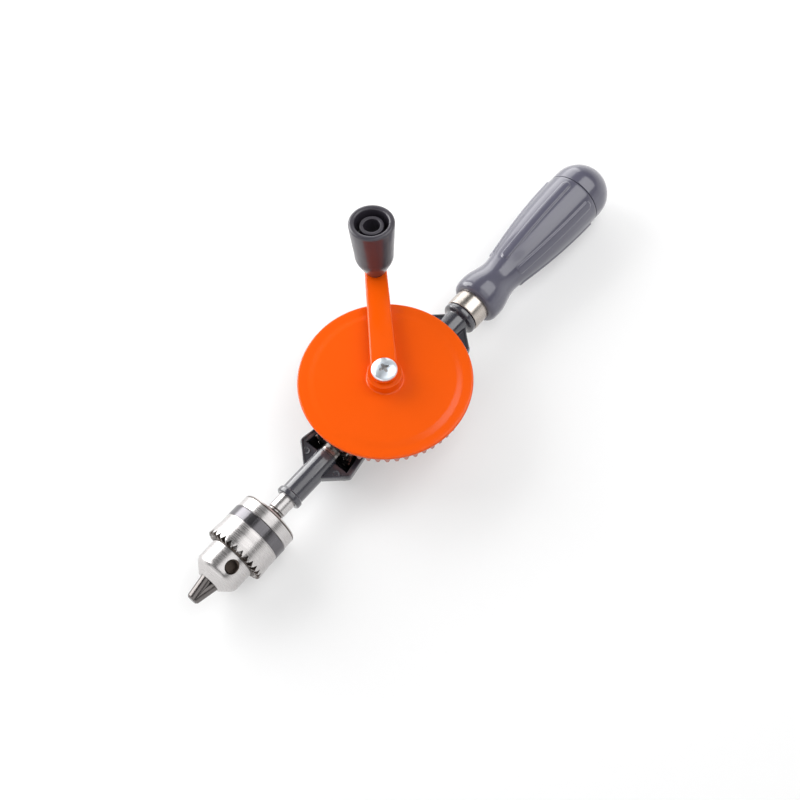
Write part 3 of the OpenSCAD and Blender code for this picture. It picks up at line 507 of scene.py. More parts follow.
def wheel_disc(crown, edge_round):
    """Painted disc: a ring turned round the axle whose face falls by an eased step near its edge."""
    reach = np.concatenate([np.linspace(24.0, 37.0, 4), np.linspace(37.9, 43.1, 27), [45.0, WHEEL_R - edge_round]])
    fall = crown * ease((reach - STEP_START) / STEP_RUN)
    face = np.stack([FACE_Z - fall, reach], axis=1)
    swing = np.linspace(0, np.pi / 2, 7)[1:]
    edge = np.stack([FACE_Z - crown - edge_round * (1 - np.cos(swing)),
                     WHEEL_R - edge_round + edge_round * np.sin(swing)], axis=1)
    boss = rounded_line([
        (BOSS_TOP, BORE_R, 0), (BOSS_TOP, WHEEL_BOSS_R, 0.5), (FACE_Z, WHEEL_BOSS_R, 0.9), (FACE_Z, 23.0, 0)
    ])
    under = rounded_line([
        (LIP_Z + 0.35, WHEEL_R, 0), (LIP_Z + 0.2, 46.0, 0), (13.4, 38.0, 0), (SKIRT_LOW, SKIRT_IN, 0),
        (HOLLOW_TOP, 35.9, 1.2), (HOLLOW_TOP, WHEEL_HUB_R, 1.5), (HUB_LOW, WHEEL_HUB_R, 0.6), (HUB_LOW, BORE_R, 0)
    ])
    return lathe(np.concatenate([boss, face, edge, under]), 192, ALONG_Z, AXLE, loop=True)


def wheel_teeth():
    """Bare toothed ring: at each angle a section whose tooth part is pushed down by a share of the tooth's height.

    The share rises from 0 in the gap to 1 on the tooth along straight flanks with eased ends, and the flanks keep
    to fixed angles, because bevel teeth narrow towards the axle.
    """
    angle = np.arange(WHEEL_TEETH * TOOTH_STEPS) * 2 * np.pi / (WHEEL_TEETH * TOOTH_STEPS)
    pitch = 2 * np.pi / WHEEL_TEETH
    off = np.abs((angle / pitch) % 1.0 - 0.5) * pitch
    share = np.clip((TOOTH_ROOT_HALF - off) / (TOOTH_ROOT_HALF - TOOTH_TIP_HALF), 0, 1)
    share = (0.75 * share + 0.25 * ease(share))[:, None]
    out_drop, in_drop = TIP_OUT - ROOT_OUT, TIP_IN - ROOT_IN
    top, low = ROOT_OUT + share * out_drop, ROOT_IN + share * in_drop
    chamfer = np.array([TOOTH_CHAMFER, 0]) * share
    tooth = [ROOT_OUT + part * share * out_drop for part in (0.0, 0.5, 0.9)]
    tooth.append(top - chamfer)
    tooth += [top * (1 - part) + low * part for part in np.linspace(0, 1, 6)[1:-1]]
    tooth.append(low + chamfer)
    tooth += [ROOT_IN + part * share * in_drop for part in (0.9, 0.5, 0.0)]

    def level(height, radius):
        """The same height and radius at every angle."""
        return np.broadcast_to([height, radius], (angle.size, 2))

    rows = [level(LIP_Z + 0.35, WHEEL_R), level(LIP_Z + 0.12, WHEEL_R), level(LIP_Z - 0.05, WHEEL_R - 0.15)]
    rows += [spot[:, ::-1] for spot in tooth]
    rows += [level(SKIRT_LOW, SKIRT_IN), level(13.9, 37.4), level(LIP_Z + 0.3, 46.0)]
    grid = np.stack(rows)
    return sheet(revolved(grid[..., 0], grid[..., 1], angle[None, :], ALONG_Z, AXLE), close_rows=True)


class DRILL_OT_wheel(bpy.types.Operator):
    """Builds the painted wheel and its bare toothed edge"""

    bl_idname = "drill.wheel"
    bl_label = "Gear wheel"

    def execute(self, context):
        looks = context.scene.drill_looks
        disc = wheel_disc(looks.wheel.crown / MM, looks.wheel.edge_round / MM)
        add_piece("wheel_disc", [disc], finish(looks, "wheel_enamel"), "crank", ["gear_wheel"])
        add_piece("wheel_teeth", [wheel_teeth()], finish(looks, "bare_steel"), "crank", ["gear_wheel"],
                  sharp=30)
        return {"FINISHED"}


# Crank

CRANK_ANGLE = math.atan2(KNOB_FOOT[1], KNOB_FOOT[0] - AXLE[0])
CRANK_R = math.hypot(KNOB_FOOT[1], KNOB_FOOT[0] - AXLE[0])
ARM_T = 2.8
ARM_HUB_R, ARM_TIP_R = 7.3, 6.3
ARM_BEND, BEND_RUN = 9.5, 4.0
ARM_SLOPE = math.tan(math.radians(5.0))
KNOB_LEN, KNOB_GAP, KNOB_BORE, KNOB_MOUTH = 41.0, 0.2, 3.05, 9.4
KNOB_FLOOR, CORE_END, CORE_FLOOR = 28.0, 38.2, 23.0
RIVET_R, RIVET_H = 3.6, 0.9
RECESS_TURN, RECESS_BLEND, RECESS_DEPTH, RECESS_FALL = math.radians(20), 0.3, 2.2, 1.6
SHANK_LOW = ARM_TOP - 12.0


def arm_drop(reach):
    """Fall of the arm at a distance from the axle: a parabola over the bend, then a straight slope."""
    past = np.clip(reach - ARM_BEND + BEND_RUN, 0, 2 * BEND_RUN)
    return ARM_SLOPE * (past**2 / (4 * BEND_RUN) + np.maximum(0, reach - ARM_BEND - BEND_RUN))


def circle(turn):
    """Points of a unit circle at the given angles."""
    return np.stack([np.cos(turn), np.sin(turn)], axis=1)


def crank_arm(edge_round):
    """Flat bar: a closed outline of two half circles and their tangents, offset inwards to round its edges.

    Both faces join each outline point to its mirror image across the bar's middle line.
    """
    lean = math.asin((ARM_HUB_R - ARM_TIP_R) / CRANK_R)
    hub_turn = np.linspace(np.pi / 2 - lean, 1.5 * np.pi + lean, 41)
    tip_turn = np.linspace(-np.pi / 2 + lean, np.pi / 2 - lean, 41)
    hub_out, tip_out = circle(hub_turn), circle(tip_turn)
    hub = ARM_HUB_R * hub_out
    tip = np.array([CRANK_R, 0]) + ARM_TIP_R * tip_out
    share = np.linspace(0, 1, 32)[1:-1, None]
    low_side = hub[-1] * (1 - share) + tip[0] * share
    high_side = tip[-1] * (1 - share) + hub[0] * share
    outline = np.concatenate([hub, low_side, tip, high_side])
    normal = np.concatenate([
        hub_out, np.broadcast_to(hub_out[-1], low_side.shape), tip_out, np.broadcast_to(hub_out[0], high_side.shape)
    ])
    back = len(hub) // 2
    outline, normal = np.roll(outline, -back, axis=0), np.roll(normal, -back, axis=0)
    swing = np.linspace(0, np.pi / 2, 6)
    inset = np.concatenate([edge_round * (1 - np.sin(swing)), edge_round * (1 - np.cos(swing))])
    height = np.concatenate([-ARM_T + edge_round * (1 - np.cos(swing)), -edge_round * (1 - np.sin(swing))])
    flat = outline[None] - inset[:, None, None] * normal[None]
    drop = height[:, None] - arm_drop(flat[..., 0])
    c, s = math.cos(CRANK_ANGLE), math.sin(CRANK_ANGLE)

    def placed(plane, level):
        """Points of the plan turned to the arm's direction and set at a level below its top."""
        return np.stack([AXLE[0] + c * plane[..., 0] - s * plane[..., 1],
                         s * plane[..., 0] + c * plane[..., 1], ARM_TOP + level], axis=-1)

    sides = sheet(placed(flat, drop))
    count = len(outline)
    first = np.arange(0, count // 2 + 1)
    mirror = (count - first) % count
    faces = []
    for row in (0, -1):
        strip = np.stack([flat[row][first], (flat[row][first] + flat[row][mirror]) / 2, flat[row][mirror]])
        level = height[row] - arm_drop(strip[..., 0])
        faces.append(sheet(placed(strip, level), close_columns=False))
    return [sides] + faces


def knob_frame():
    """Directions of the knob: its axis and two across it."""
    across = np.cross([0.0, 1.0, 0.0], KNOB_AXIS)
    across /= np.linalg.norm(across)
    return np.stack([KNOB_AXIS, across, np.cross(KNOB_AXIS, across)])


def arm_screw(reach):
    """Screw: a domed head turned round the axle, pushed down in a cross of two tapering slots.

    A slot's depth falls in a straight line from the middle to its reach, and its sides are eased. Marks are 1
    on faces that lie in the cross, whose plain steel, darker than the zinc, is painted shade in the recess.
    """
    angle = np.linspace(0, 2 * np.pi, 144, endpoint=False)
    radius = np.concatenate([np.linspace(0, reach + 0.6, 44), np.linspace(reach + 0.9, SCREW_R * 0.955, 8)])
    head = SCREW_TOP - ARM_TOP
    rise = 0.3 * head + 0.7 * head * np.sqrt(np.maximum(0, 1 - (radius / SCREW_R) ** 2))
    turn = angle + RECESS_TURN
    x = radius[:, None] * np.cos(turn)
    y = radius[:, None] * np.sin(turn)
    depth = np.zeros_like(x)
    for along, across in ((np.abs(x), np.abs(y)), (np.abs(y), np.abs(x))):
        width = 0.55 + 0.35 * (1 - along / reach)
        slot = ease((width + RECESS_BLEND / 2 - across) / RECESS_BLEND)
        depth = np.maximum(depth, slot * np.clip((reach - along) * RECESS_FALL, 0, RECESS_DEPTH))
    dome = ARM_TOP + rise[:, None] - depth
    side = rounded_line([
        (ARM_TOP + rise[-1], radius[-1], 0), (ARM_TOP + 0.3 * head, SCREW_R, 0.5), (ARM_TOP, SCREW_R - 0.1, 0.3),
        (ARM_TOP, 2.5, 0), (ARM_TOP - 11.0, 2.5, 0), (SHANK_LOW, 1.6, 0), (SHANK_LOW, 0.0, 0)
    ])[1:]
    along = np.concatenate([dome, widened(side, 0, angle.size)])
    away = np.concatenate([radius, side[:, 1]])[:, None]
    deep = depth > 0.25
    marks = np.zeros((len(along) - 1, angle.size), int)
    both = deep & np.roll(deep, -1, axis=1)
    marks[:len(radius) - 1] = both[:-1] & both[1:]
    return marked(sheet(revolved(along, away, angle[None, :], ALONG_Z, AXLE)), marks)


def crank_knob():
    """Knob: a ring turned round its pin, with a cone at the foot, a thin rim and a sleeve in its open end."""
    waist = cubic((9.0, 9.7), (12.0, 11.05), (13.0, 11.05), (17.0, 11.15), 10)
    profile = np.concatenate([
        rounded_line([(0.0, KNOB_BORE, 0), (0.0, 5.7, 0.5), (9.0, 9.65, 0)])[:-1],
        waist,
        rounded_line([
            (30.0, 12.15, 0), (KNOB_LEN, 12.9, 1.4), (KNOB_LEN, KNOB_MOUTH, 1.2), (KNOB_FLOOR, KNOB_MOUTH, 0.6),
            (KNOB_FLOOR, 6.85, 0.6), (CORE_END, 6.75, 0.5), (CORE_END, 4.6, 0.4), (CORE_FLOOR, 4.75, 0.3),
            (CORE_FLOOR, KNOB_BORE, 0)
        ]),
    ])
    return lathe(profile, 128, knob_frame(), KNOB_FOOT + KNOB_GAP * KNOB_AXIS, loop=True)


def pin_rivet():
    """Rivet under the arm: a shallow dome turned round the knob's pin."""
    swing = np.linspace(0, np.pi / 2, 8)
    dome = np.stack([-ARM_T - RIVET_H * np.cos(swing), RIVET_R * np.sin(swing)], axis=1)
    profile = np.concatenate([dome, [[-ARM_T + 0.4, RIVET_R], [-ARM_T + 0.4, 0.0]]])
    return lathe(profile, 64, knob_frame(), KNOB_FOOT)


class DRILL_OT_crank(bpy.types.Operator):
    """Builds the crank's arm, its screw and the rivet of the knob's pin"""

    bl_idname = "drill.crank"
    bl_label = "Crank arm"

    def execute(self, context):
        looks = context.scene.drill_looks
        add_piece("arm_bar", crank_arm(looks.crank.arm_round / MM), finish(looks, "wheel_enamel"), "crank",
                  ["crank_arm"])
        # The plain steel also paints shade into the screw's cross recess
        steel = finish(looks, "plain_steel")
        add_piece("arm_screw_head", [arm_screw(looks.crank.recess / MM)], finish(looks, "zinc_plate"), "crank",
                  ["arm_screw"], second=steel)
        add_piece("pin_rivet", [pin_rivet()], steel, "crank", ())
        return {"FINISHED"}


class DRILL_OT_knob(bpy.types.Operator):
    """Builds the knob"""

    bl_idname = "drill.knob"
    bl_label = "Knob"

    def execute(self, context):
        looks = context.scene.drill_looks
        plastic = finish(looks, "knob_plastic")
        add_piece("knob_grip", [crank_knob()], plastic, "knob", ["crank_knob"])
        return {"FINISHED"}


# Chuck and spindle

SLEEVE_R = RIM_R - 0.4
SLEEVE_BORE = SLEEVE_R - 2.4
TOOTH_DEPTH = 3.3
THIRD = 2 * math.pi / 3
SECTOR_STEPS = 48
NOSE_R, NOSE_FACE_R, NOSE_CONE, NOSE_ROUND = 13.1, 7.2, 5.4, 5.0
NOSE_SIDE_FRONT, NOSE_SIDE_BACK, NOSE_BACK = -7.62, SLEEVE_FRONT - 0.3, SLEEVE_FRONT - 1.0
PILOT_X, PILOT_R, PILOT_DEPTH, PILOT_CHAMFER = -12.0, 3.3, 5.6, 0.9
PILOT_ANGLE = math.radians(35.5)
JAW_ANGLE = PILOT_ANGLE + THIRD / 2
JAW_LINE_R, JAW_SLOPE, JAW_BORE_R = 2.726, math.tan(math.radians(12.0)), 3.38
SHANK_R, SHANK_END, SHANK_CORE_R = 5.2, -27.3, 4.8
THREAD_DEPTH, THREAD_START, THREAD_MARK = 0.7, 0.6, 0.62
SHAFT_R, PINION_SEAT_R, STUB_R = 4.0, 4.5, 4.75
BAND_STEP, NOSE_SEAT_R = 0.35, 13.4
TAIL_R, TAIL_BORE, TAIL_FRONT = 16.9, 4.77, SLEEVE_END - 0.2


def chuck_sleeve(teeth, band):
    """Toothed sleeve: a ring turned round the spindle whose front part is pushed back by notches.

    A notch is a V of fixed width: its depth falls in a straight line with the sideways distance from its middle.
    The marks are 1 on the faces of the notches and of the front edge inside them, which take the dark steel as
    painted shade.
    """
    pitch = 2 * np.pi / teeth
    half = 0.43 * 2 * np.pi * RIM_R / teeth
    floor = 0.07 * half
    stops = np.array([-1.16, -1.08, -1.02, -0.99, -0.72, -0.4, -0.07, 0, 0.07, 0.4, 0.72, 0.99, 1.02, 1.08]) * half
    angle = (np.pi / 2 + np.arange(teeth)[:, None] * pitch + stops[None, :] / RIM_R).ravel()
    off = np.tile(stops / RIM_R, teeth)
    back = SLEEVE_END + band + 0.15
    front = rounded_line([
        (SLEEVE_FRONT, NOSE_SEAT_R, 0), (SLEEVE_FRONT, 13.85, 0.3), (SLEEVE_FRONT - 0.22, SLEEVE_BORE, 0)
    ], 3)
    cut = rounded_line([
        (SLEEVE_FRONT - 0.22, SLEEVE_BORE, 0), (SLEEVE_FRONT - 0.65, RIM_R - 0.5, 0.3),
        (SLEEVE_FRONT - 1.1, RIM_R, 0.4), (SLEEVE_FRONT - 4.0, RIM_R, 0)
    ], 4)
    rest = rounded_line([
        (SLEEVE_FRONT - 4.4, RIM_R, 0), (SLEEVE_FRONT - 5.0, RIM_R, 6.0), (SLEEVE_FRONT - 9.5, SLEEVE_R, 6.0),
        (back + 0.5, SLEEVE_R, 0.2), (back + 0.4, SLEEVE_R - BAND_STEP, 0.1), (back, SLEEVE_R - BAND_STEP, 0),
        (SLEEVE_END + 0.3, SLEEVE_R - BAND_STEP, 0), (SLEEVE_END, SLEEVE_R - 0.6, 0), (SLEEVE_END, SLEEVE_BORE, 0),
        (SLEEVE_FRONT - 1.2, SLEEVE_BORE, 0), (SLEEVE_FRONT - 1.2, NOSE_SEAT_R, 0)
    ], 3)
    aside = np.abs(cut[:, 1:2] * np.sin(off)[None, :])
    depth = TOOTH_DEPTH * np.clip((half - aside) / (half - floor), 0, 1)
    depth[-1] = 0
    pushed = np.minimum(cut[:, :1], SLEEVE_FRONT - depth - 0.02)
    pushed[-1] = cut[-1, 0]
    pushed = np.maximum(pushed, cut[-1, 0])
    along = np.concatenate([widened(front, 0, off.size), pushed, widened(rest, 0, off.size)])
    radius = np.concatenate([front[:, 1], cut[:, 1], rest[:, 1]])[:, None]
    marks = np.zeros(along.shape, int)
    marks[:len(front)] = 1
    notch = (np.abs(stops + 0.01) < half) & (stops < 0.9 * half)
    marks[len(front):len(front) + len(cut) - 2] = np.tile(notch, teeth)
    return marked(sheet(revolved(along, radius, angle[None, :]), close_rows=True), marks)


def satin_band(band):
    """Satin band: a thin ring turned round the spindle."""
    return ring([
        (SLEEVE_END + band / 2, SLEEVE_R - 0.5, 0), (SLEEVE_END + band, SLEEVE_R - 0.5, 0),
        (SLEEVE_END + band, SLEEVE_R, 0.25), (SLEEVE_END, SLEEVE_R, 0.35), (SLEEVE_END, SLEEVE_R - 0.62, 0),
        (SLEEVE_END + 0.4, SLEEVE_R - 0.62, 0)
    ], 192)


def square_outline(count):
    """Points round a square from -1 to 1: each side holds count equal steps; also their angles from the middle."""
    step = np.linspace(-1, 1, count, endpoint=False)
    one = np.ones(count)
    outline = np.concatenate([
        np.stack([step, -one], 1), np.stack([one, step], 1), np.stack([-step, one], 1), np.stack([-one, -step], 1)
    ])
    return outline, np.arctan2(outline[:, 1], outline[:, 0])


def stretched(share, middle, low, high):
    """Place at a share from -1 to 1 between low and high, where 0 is the middle."""
    return middle + np.where(share > 0, share * (high - middle), share * (middle - low))


def around_x(along, radius, angle):
    """Points round the spindle, with the angle measured from straight up towards Y."""
    return revolved(along, radius, np.pi / 2 - angle)


def mouth_radius(x, angle):
    """Edge of the opening: the shank's bore, or where a jaw's slanted bore reaches further out.

    A jaw's bore is a circle whose middle lies at c. At an angle d from its middle, its edge lies at
    c cos d + root(bore^2 - c^2 sin^2 d).
    """
    middle = JAW_LINE_R - x * JAW_SLOPE
    turn = (angle - JAW_ANGLE + THIRD / 2) % THIRD - THIRD / 2
    room = JAW_BORE_R**2 - (middle * np.sin(turn)) ** 2
    lobe = np.where(room > 0, middle * np.cos(turn) + np.sqrt(np.maximum(room, 0)), 0)
    return np.maximum(SHANK_R, lobe)


def pilot_sector(angle):
    """Third of the nose's side round a pilot hole.

    Rows run from the hole's floor up its wall and chamfer to its edge, then in straight lines over the unrolled
    side to the sector's border. Marks are 1 inside the hole, whose dark steel is painted shade.
    """
    square, turn = square_outline(SECTOR_STEPS)
    edge = np.full(turn.shape, PILOT_R)
    for _ in range(20):
        edge = PILOT_R + np.maximum(0, np.sqrt(NOSE_R**2 - (edge * np.sin(turn)) ** 2) - NOSE_R + PILOT_CHAMFER)
    radial = np.array([0, math.sin(angle), math.cos(angle)])
    aside = np.array([0, math.cos(angle), -math.sin(angle)])
    floor = NOSE_R - PILOT_DEPTH
    hole_r = np.stack([np.zeros_like(edge)] + [np.full_like(edge, v * PILOT_R) for v in (0.5, 1, 1, 1)] + [edge])
    top = np.sqrt(NOSE_R**2 - (edge * np.sin(turn)) ** 2)
    seat = np.minimum(NOSE_R - PILOT_CHAMFER, top - 0.02)
    height = np.stack([np.full_like(edge, v) for v in (floor, floor, floor, (floor + NOSE_R) / 2)] + [seat, top])
    hole = (
        np.array([PILOT_X, 0, 0])
        + (hole_r * np.cos(turn))[..., None] * np.array([1.0, 0, 0])
        + (hole_r * np.sin(turn))[..., None] * aside
        + height[..., None] * radial
    )
    start_x, start_s = edge * np.cos(turn), np.arcsin(edge * np.sin(turn) / NOSE_R)
    end_x = stretched(square[:, 0], PILOT_X, NOSE_SIDE_BACK, NOSE_SIDE_FRONT) - PILOT_X
    end_s = square[:, 1] * THIRD / 2
    share = (np.linspace(0, 1, 11) ** 1.4)[1:, None]
    side = around_x(PILOT_X + start_x + (end_x - start_x) * share, NOSE_R,
                    angle + start_s + (end_s - start_s) * share)
    points = np.concatenate([hole, side])
    marks = np.zeros((len(points) - 1, len(turn)), int)
    marks[:len(hole) - 1] = 1
    return marked(sheet(points), marks)


def chuck_nose():
    """Rest of the nose: a profile turned round the spindle, whose inner rows follow the edge of the opening."""
    angle = PILOT_ANGLE - THIRD / 2 + np.arange(3 * SECTOR_STEPS) * THIRD / SECTOR_STEPS
    slope = math.atan2(NOSE_R - NOSE_FACE_R, NOSE_CONE)
    middle = -NOSE_CONE - NOSE_ROUND * math.tan(slope / 2)
    swing = np.linspace(0, slope, 12)
    shoulder = np.stack([middle + NOSE_ROUND * np.sin(swing), NOSE_R - NOSE_ROUND * (1 - np.cos(swing))], axis=1)
    face = rounded_line([tuple(shoulder[-1]) + (0,), (0, NOSE_FACE_R, 0.5), (0, 6.4, 0)])
    outer = np.concatenate([[[NOSE_SIDE_FRONT, NOSE_R]], shoulder, face[1:-1]])
    depth = np.concatenate([[0.0, -0.06, -0.3], np.linspace(-1.0, NOSE_BACK, 12)])
    flare = np.array([0.22, 0.08] + [0.0] * 13)
    inner = mouth_radius(depth[:, None], angle[None, :]) + flare[:, None]
    back = np.array([[NOSE_BACK, NOSE_R - 0.3], [NOSE_BACK + 0.3, NOSE_R], [NOSE_SIDE_BACK, NOSE_R]])
    spread = np.ones((1, angle.size))
    radius = np.concatenate([outer[:, 1:] * spread, inner, back[:, 1:] * spread])
    along = np.concatenate([outer[:, 0], depth, back[:, 0]])[:, None]
    return sheet(around_x(along, radius, angle[None, :]))


def chuck_tail():
    """Rear band: turned edges and bore, and end faces in three sectors.

    Each sector has straight lines from a jaw's bore to its border, and the bores' walls join the two faces. Marks
    are 1 on the arc of the rear edge, whose dark steel paints a shaded line there.
    """
    square, turn = square_outline(SECTOR_STEPS)
    border = JAW_ANGLE - THIRD / 2 + np.arange(3 * SECTOR_STEPS) * THIRD / SECTOR_STEPS
    rim = rounded_line([
        (CHUCK_END, TAIL_R - 0.8, 0), (CHUCK_END + 1.1, TAIL_R, 1.2), (TAIL_FRONT - 0.3, TAIL_R, 0.3),
        (TAIL_FRONT, TAIL_R - 0.3, 0)
    ])
    edge = np.zeros((len(rim) - 1, border.size), int)
    # the rear edge's arc takes the dark steel as a painted shade line
    edge[1:6] = 1
    parts = [
        marked(sheet(around_x(rim[:, :1], rim[:, 1:], border[None, :])), edge),
        sheet(around_x(np.array([[CHUCK_END], [TAIL_FRONT]]), TAIL_BORE, border[None, :])),
    ]
    share = np.linspace(0, 1, 6)[:, None]
    for third in range(3):
        angle = JAW_ANGLE + third * THIRD
        walls = []
        for x, outer in ((CHUCK_END, TAIL_R - 0.8), (TAIL_FRONT, TAIL_R - 0.3)):
            middle = JAW_LINE_R - x * JAW_SLOPE
            out = middle + JAW_BORE_R * np.cos(turn)
            side = JAW_BORE_R * np.sin(turn)
            start_r, start_s = np.hypot(out, side), np.arctan2(side, out)
            end_r = stretched(square[:, 0], middle, TAIL_BORE, outer)
            end_s = square[:, 1] * THIRD / 2
            face = around_x(x, start_r + (end_r - start_r) * share, angle + start_s + (end_s - start_s) * share)
            parts.append(sheet(face))
            walls.append(face[0])
        parts.append(sheet(np.stack(walls)))
    return parts


def chuck_core():
    """Floor of the shank's bore: a short bar turned round the spindle, between the jaws' bores."""
    back = TAIL_FRONT + 0.5
    return lathe([(SHANK_END, 0), (SHANK_END, SHANK_CORE_R), (back, SHANK_CORE_R), (back, 0)], 96)


def spindle(pitch):
    """Spindle: a shaft turned round its axis, with a thread cut into its neck beside the chuck.

    The thread's radius falls with the distance of (along / pitch - angle / a full turn) from the nearest whole
    number. Marks are 1 in the thread's groove, whose dark steel is partly oil, partly painted shade.
    """
    angle = np.linspace(0, 2 * np.pi, 96, endpoint=False)
    rear = rounded_line([
        (SPINDLE_BACK, 0, 0), (SPINDLE_BACK, SHAFT_R, 0.4), (PINION_BACK, SHAFT_R, 0),
        (PINION_BACK, PINION_SEAT_R, 0), (PINION_FRONT, PINION_SEAT_R, 0), (PINION_FRONT, SPINDLE_R, 0),
        (CHUCK_END - 5.0, SPINDLE_R, 0)
    ])
    cut = np.linspace(CHUCK_END - 4.9, CHUCK_END + 0.3, 80)
    start = ease((cut - cut[0]) / THREAD_START)[:, None]
    turn = (cut[:, None] / pitch - angle[None, :] / (2 * np.pi)) % 1.0
    ridge = 1 - np.abs(2 * turn - 1)
    thread = SPINDLE_R - THREAD_DEPTH * start * ease(ridge * 1.25 - 0.1)
    stub = rounded_line([
        (CHUCK_END + 0.3, 4.6, 0), (CHUCK_END + 0.3, STUB_R, 0), (SPINDLE_FRONT - 1, STUB_R, 0),
        (SPINDLE_FRONT, STUB_R - 1, 0), (SPINDLE_FRONT, 0, 0)
    ])
    along = np.concatenate([rear[:, 0], cut, stub[1:, 0]])[:, None]
    radius = np.concatenate([widened(rear, 1, angle.size), thread, widened(stub[1:], 1, angle.size)])
    marks = np.zeros((len(along) - 1, angle.size), int)
    # faces deep in the groove take the dark steel, partly as painted shade
    marks[len(rear):len(rear) + len(cut)] = (ridge * start > THREAD_MARK)[:len(marks) - len(rear)]
    return marked(sheet(revolved(along, radius, angle[None, :])), marks)


class DRILL_OT_chuck(bpy.types.Operator):
    """Builds the toothed sleeve with its satin band and finishes the chuck's body and jaws"""

    bl_idname = "drill.chuck"
    bl_label = "Chuck"

    def execute(self, context):
        looks = context.scene.drill_looks
        band = looks.chuck.band / MM
        # The dark second steel paints shade into the sleeve's notches and front face, the nose's pilot holes and
        # the tail's rear edge
        bright, oil_shade_steel = finish(looks, "turned_steel"), finish(looks, "oily_steel")
        sleeve = chuck_sleeve(looks.chuck.teeth, band)
        add_piece("sleeve_ring", [sleeve], bright, "sleeve", ["chuck_sleeve"], 28, oil_shade_steel)
        add_piece("sleeve_band", [satin_band(band)], finish(looks, "satin_band"), "sleeve", ["chuck_sleeve"])
        nose = [pilot_sector(PILOT_ANGLE + third * THIRD) for third in range(3)] + [chuck_nose()]
        add_piece("chuck_nose", nose, bright, "spindle", ["chuck_body"], 30, oil_shade_steel)
        tail = chuck_tail() + [chuck_core()]
        add_piece("chuck_tail", tail, bright, "spindle", ["chuck_body"], 30, oil_shade_steel)
        paint_nodes(finish(looks, "jaw_steel"), "jaw_1", "jaw_2", "jaw_3")
        paint_nodes(finish(looks, "hard_steel"), "chuck_nut", "axle_clip")
        return {"FINISHED"}


class DRILL_OT_spindle(bpy.types.Operator):
    """Builds the spindle with its threaded neck and finishes the pinions, axles, pins and washers"""

    bl_idname = "drill.spindle"
    bl_label = "Spindle and pinions"

    def execute(self, context):
        looks = context.scene.drill_looks
        shaft = spindle(looks.chuck.pitch / MM)
        add_piece("spindle_shaft", [shaft], finish(looks, "turned_steel"), "spindle", ["spindle"],
                  30, finish(looks, "oily_steel"))
        # The pinions' darker steel is partly painted shade inside the windows
        paint_nodes(finish(looks, "gear_steel"), "drive_pinion", "idler_pinion")
        # The washers' dark steel is painted shade inside the windows
        paint_nodes(finish(looks, "blued_steel"), "front_washer", "thrust_washer", "idler_front_washer",
                    "idler_rear_washer")
        paint_nodes(finish(looks, "plain_steel"), "idler_axle", "wheel_axle", "axle_washer", "knob_pin",
                    "pinion_pin", "handle_rod", "rod_washer")
        paint_nodes(finish(looks, "zinc_plate"), "rod_nut")
        return {"FINISHED"}


# Cast frame

WINDOW_END = 49.912
BOSS_END = 27.68
FLARE_END = 61.912
WAIST_HALF = 10.0
RAIL_W, WEB_T, EDGE_W, EDGE_H, CASE_WALL = 3.2, 3.2, 1.3, 4.6, 1.8
TUBE_R, COLLAR_R, BOSS_R, HUB_R, HUB_HALF = 6.7, 7.6, 8.2, 13.0, 9.2
REAR_TUBE_R, FLANGE_R = 7.5, 10.5
TUBE_BORE, BOSS_BORE, HUB_BORE, ROD_BORE = 5.2, 4.05, 5.05, 4.02
WEB_EASE, WEB_GAP, TIP_GAP = 0.5, 0.03, 1.6
YOKE_SLOPE = (YOKE_HALF - WAIST_HALF) / (WINDOW_END + 1)


def frame_path(inset):
    """Plan of the frame from the axle: a closed line by the waist, the yokes and the tubes, corners rounded."""
    yoke, waist, tube = YOKE_HALF - inset, WAIST_HALF - inset, TUBE_R - inset
    tip, corner = FLARE_END - inset, WINDOW_END + 1
    turn = max(0.7, 2.4 - inset)
    quarter = [(corner, -yoke, turn), (tip, -tube, 0.8), (tip, tube, 0.8), (corner, yoke, turn)]
    path = [(3.0, -waist, 0)] + quarter + [(0, waist, 6.0)]
    path += [(-a, -b, r) for a, b, r in quarter] + [(0, -waist, 6.0), (3.0, -waist - 0.01, 0)]
    return rounded_line(path, 8)[:-1]


def frame_rail(width, height, rounding):
    """Rail along the outside of the plan: a rectangle with rounded corners swept round it."""
    w, h, r = width / 2, height / 2, rounding
    section = rounded_line([(0, -h, 0), (w, -h, r), (w, h, r), (-w, h, r), (-w, -h, r), (0, -h, 0)])[:-1]
    return shifted(swept(frame_path(w), section), AXLE)


def gear_case(turn):
    """Half-round case under a window: two profiles turned half round the spindle and joined at the top.

    The case for the other pinion is the same one with its x and y multiplied by turn. Marks are 1 on the inside,
    whose near-black grease finish is also painted shade.
    """
    wide = YOKE_HALF - RAIL_W
    near = wide - YOKE_SLOPE * (WINDOW_END - BOSS_END)
    walls = []
    for more, room, rounding in ((CASE_WALL, CASE_WALL, 1.0), (0.0, 0.2, 0.6)):
        walls.append(rounded_line([
            (BOSS_END - more, 4.2, 0), (BOSS_END - more, near + room, rounding),
            (WINDOW_END + more, wide + room, rounding), (WINDOW_END + more, 5.3, 0)
        ], 6))
    outer, inner = walls
    profile = np.concatenate([outer, inner[::-1]])
    angle = np.linspace(np.pi, 2 * np.pi, 49)
    points = revolved(profile[:, :1], profile[:, 1:], angle[None, :])
    points = points * np.array([turn, turn, 1.0]) + AXLE
    marks = np.zeros((len(profile), angle.size - 1), int)
    marks[len(outer):-1] = 1
    parts = [marked(sheet(points, close_rows=True, close_columns=False), marks)]
    for end in (0, -1):
        rim = np.stack([points[:len(outer), end], points[len(outer):, end][::-1]])
        parts.append(sheet(rim, close_columns=False))
    return parts


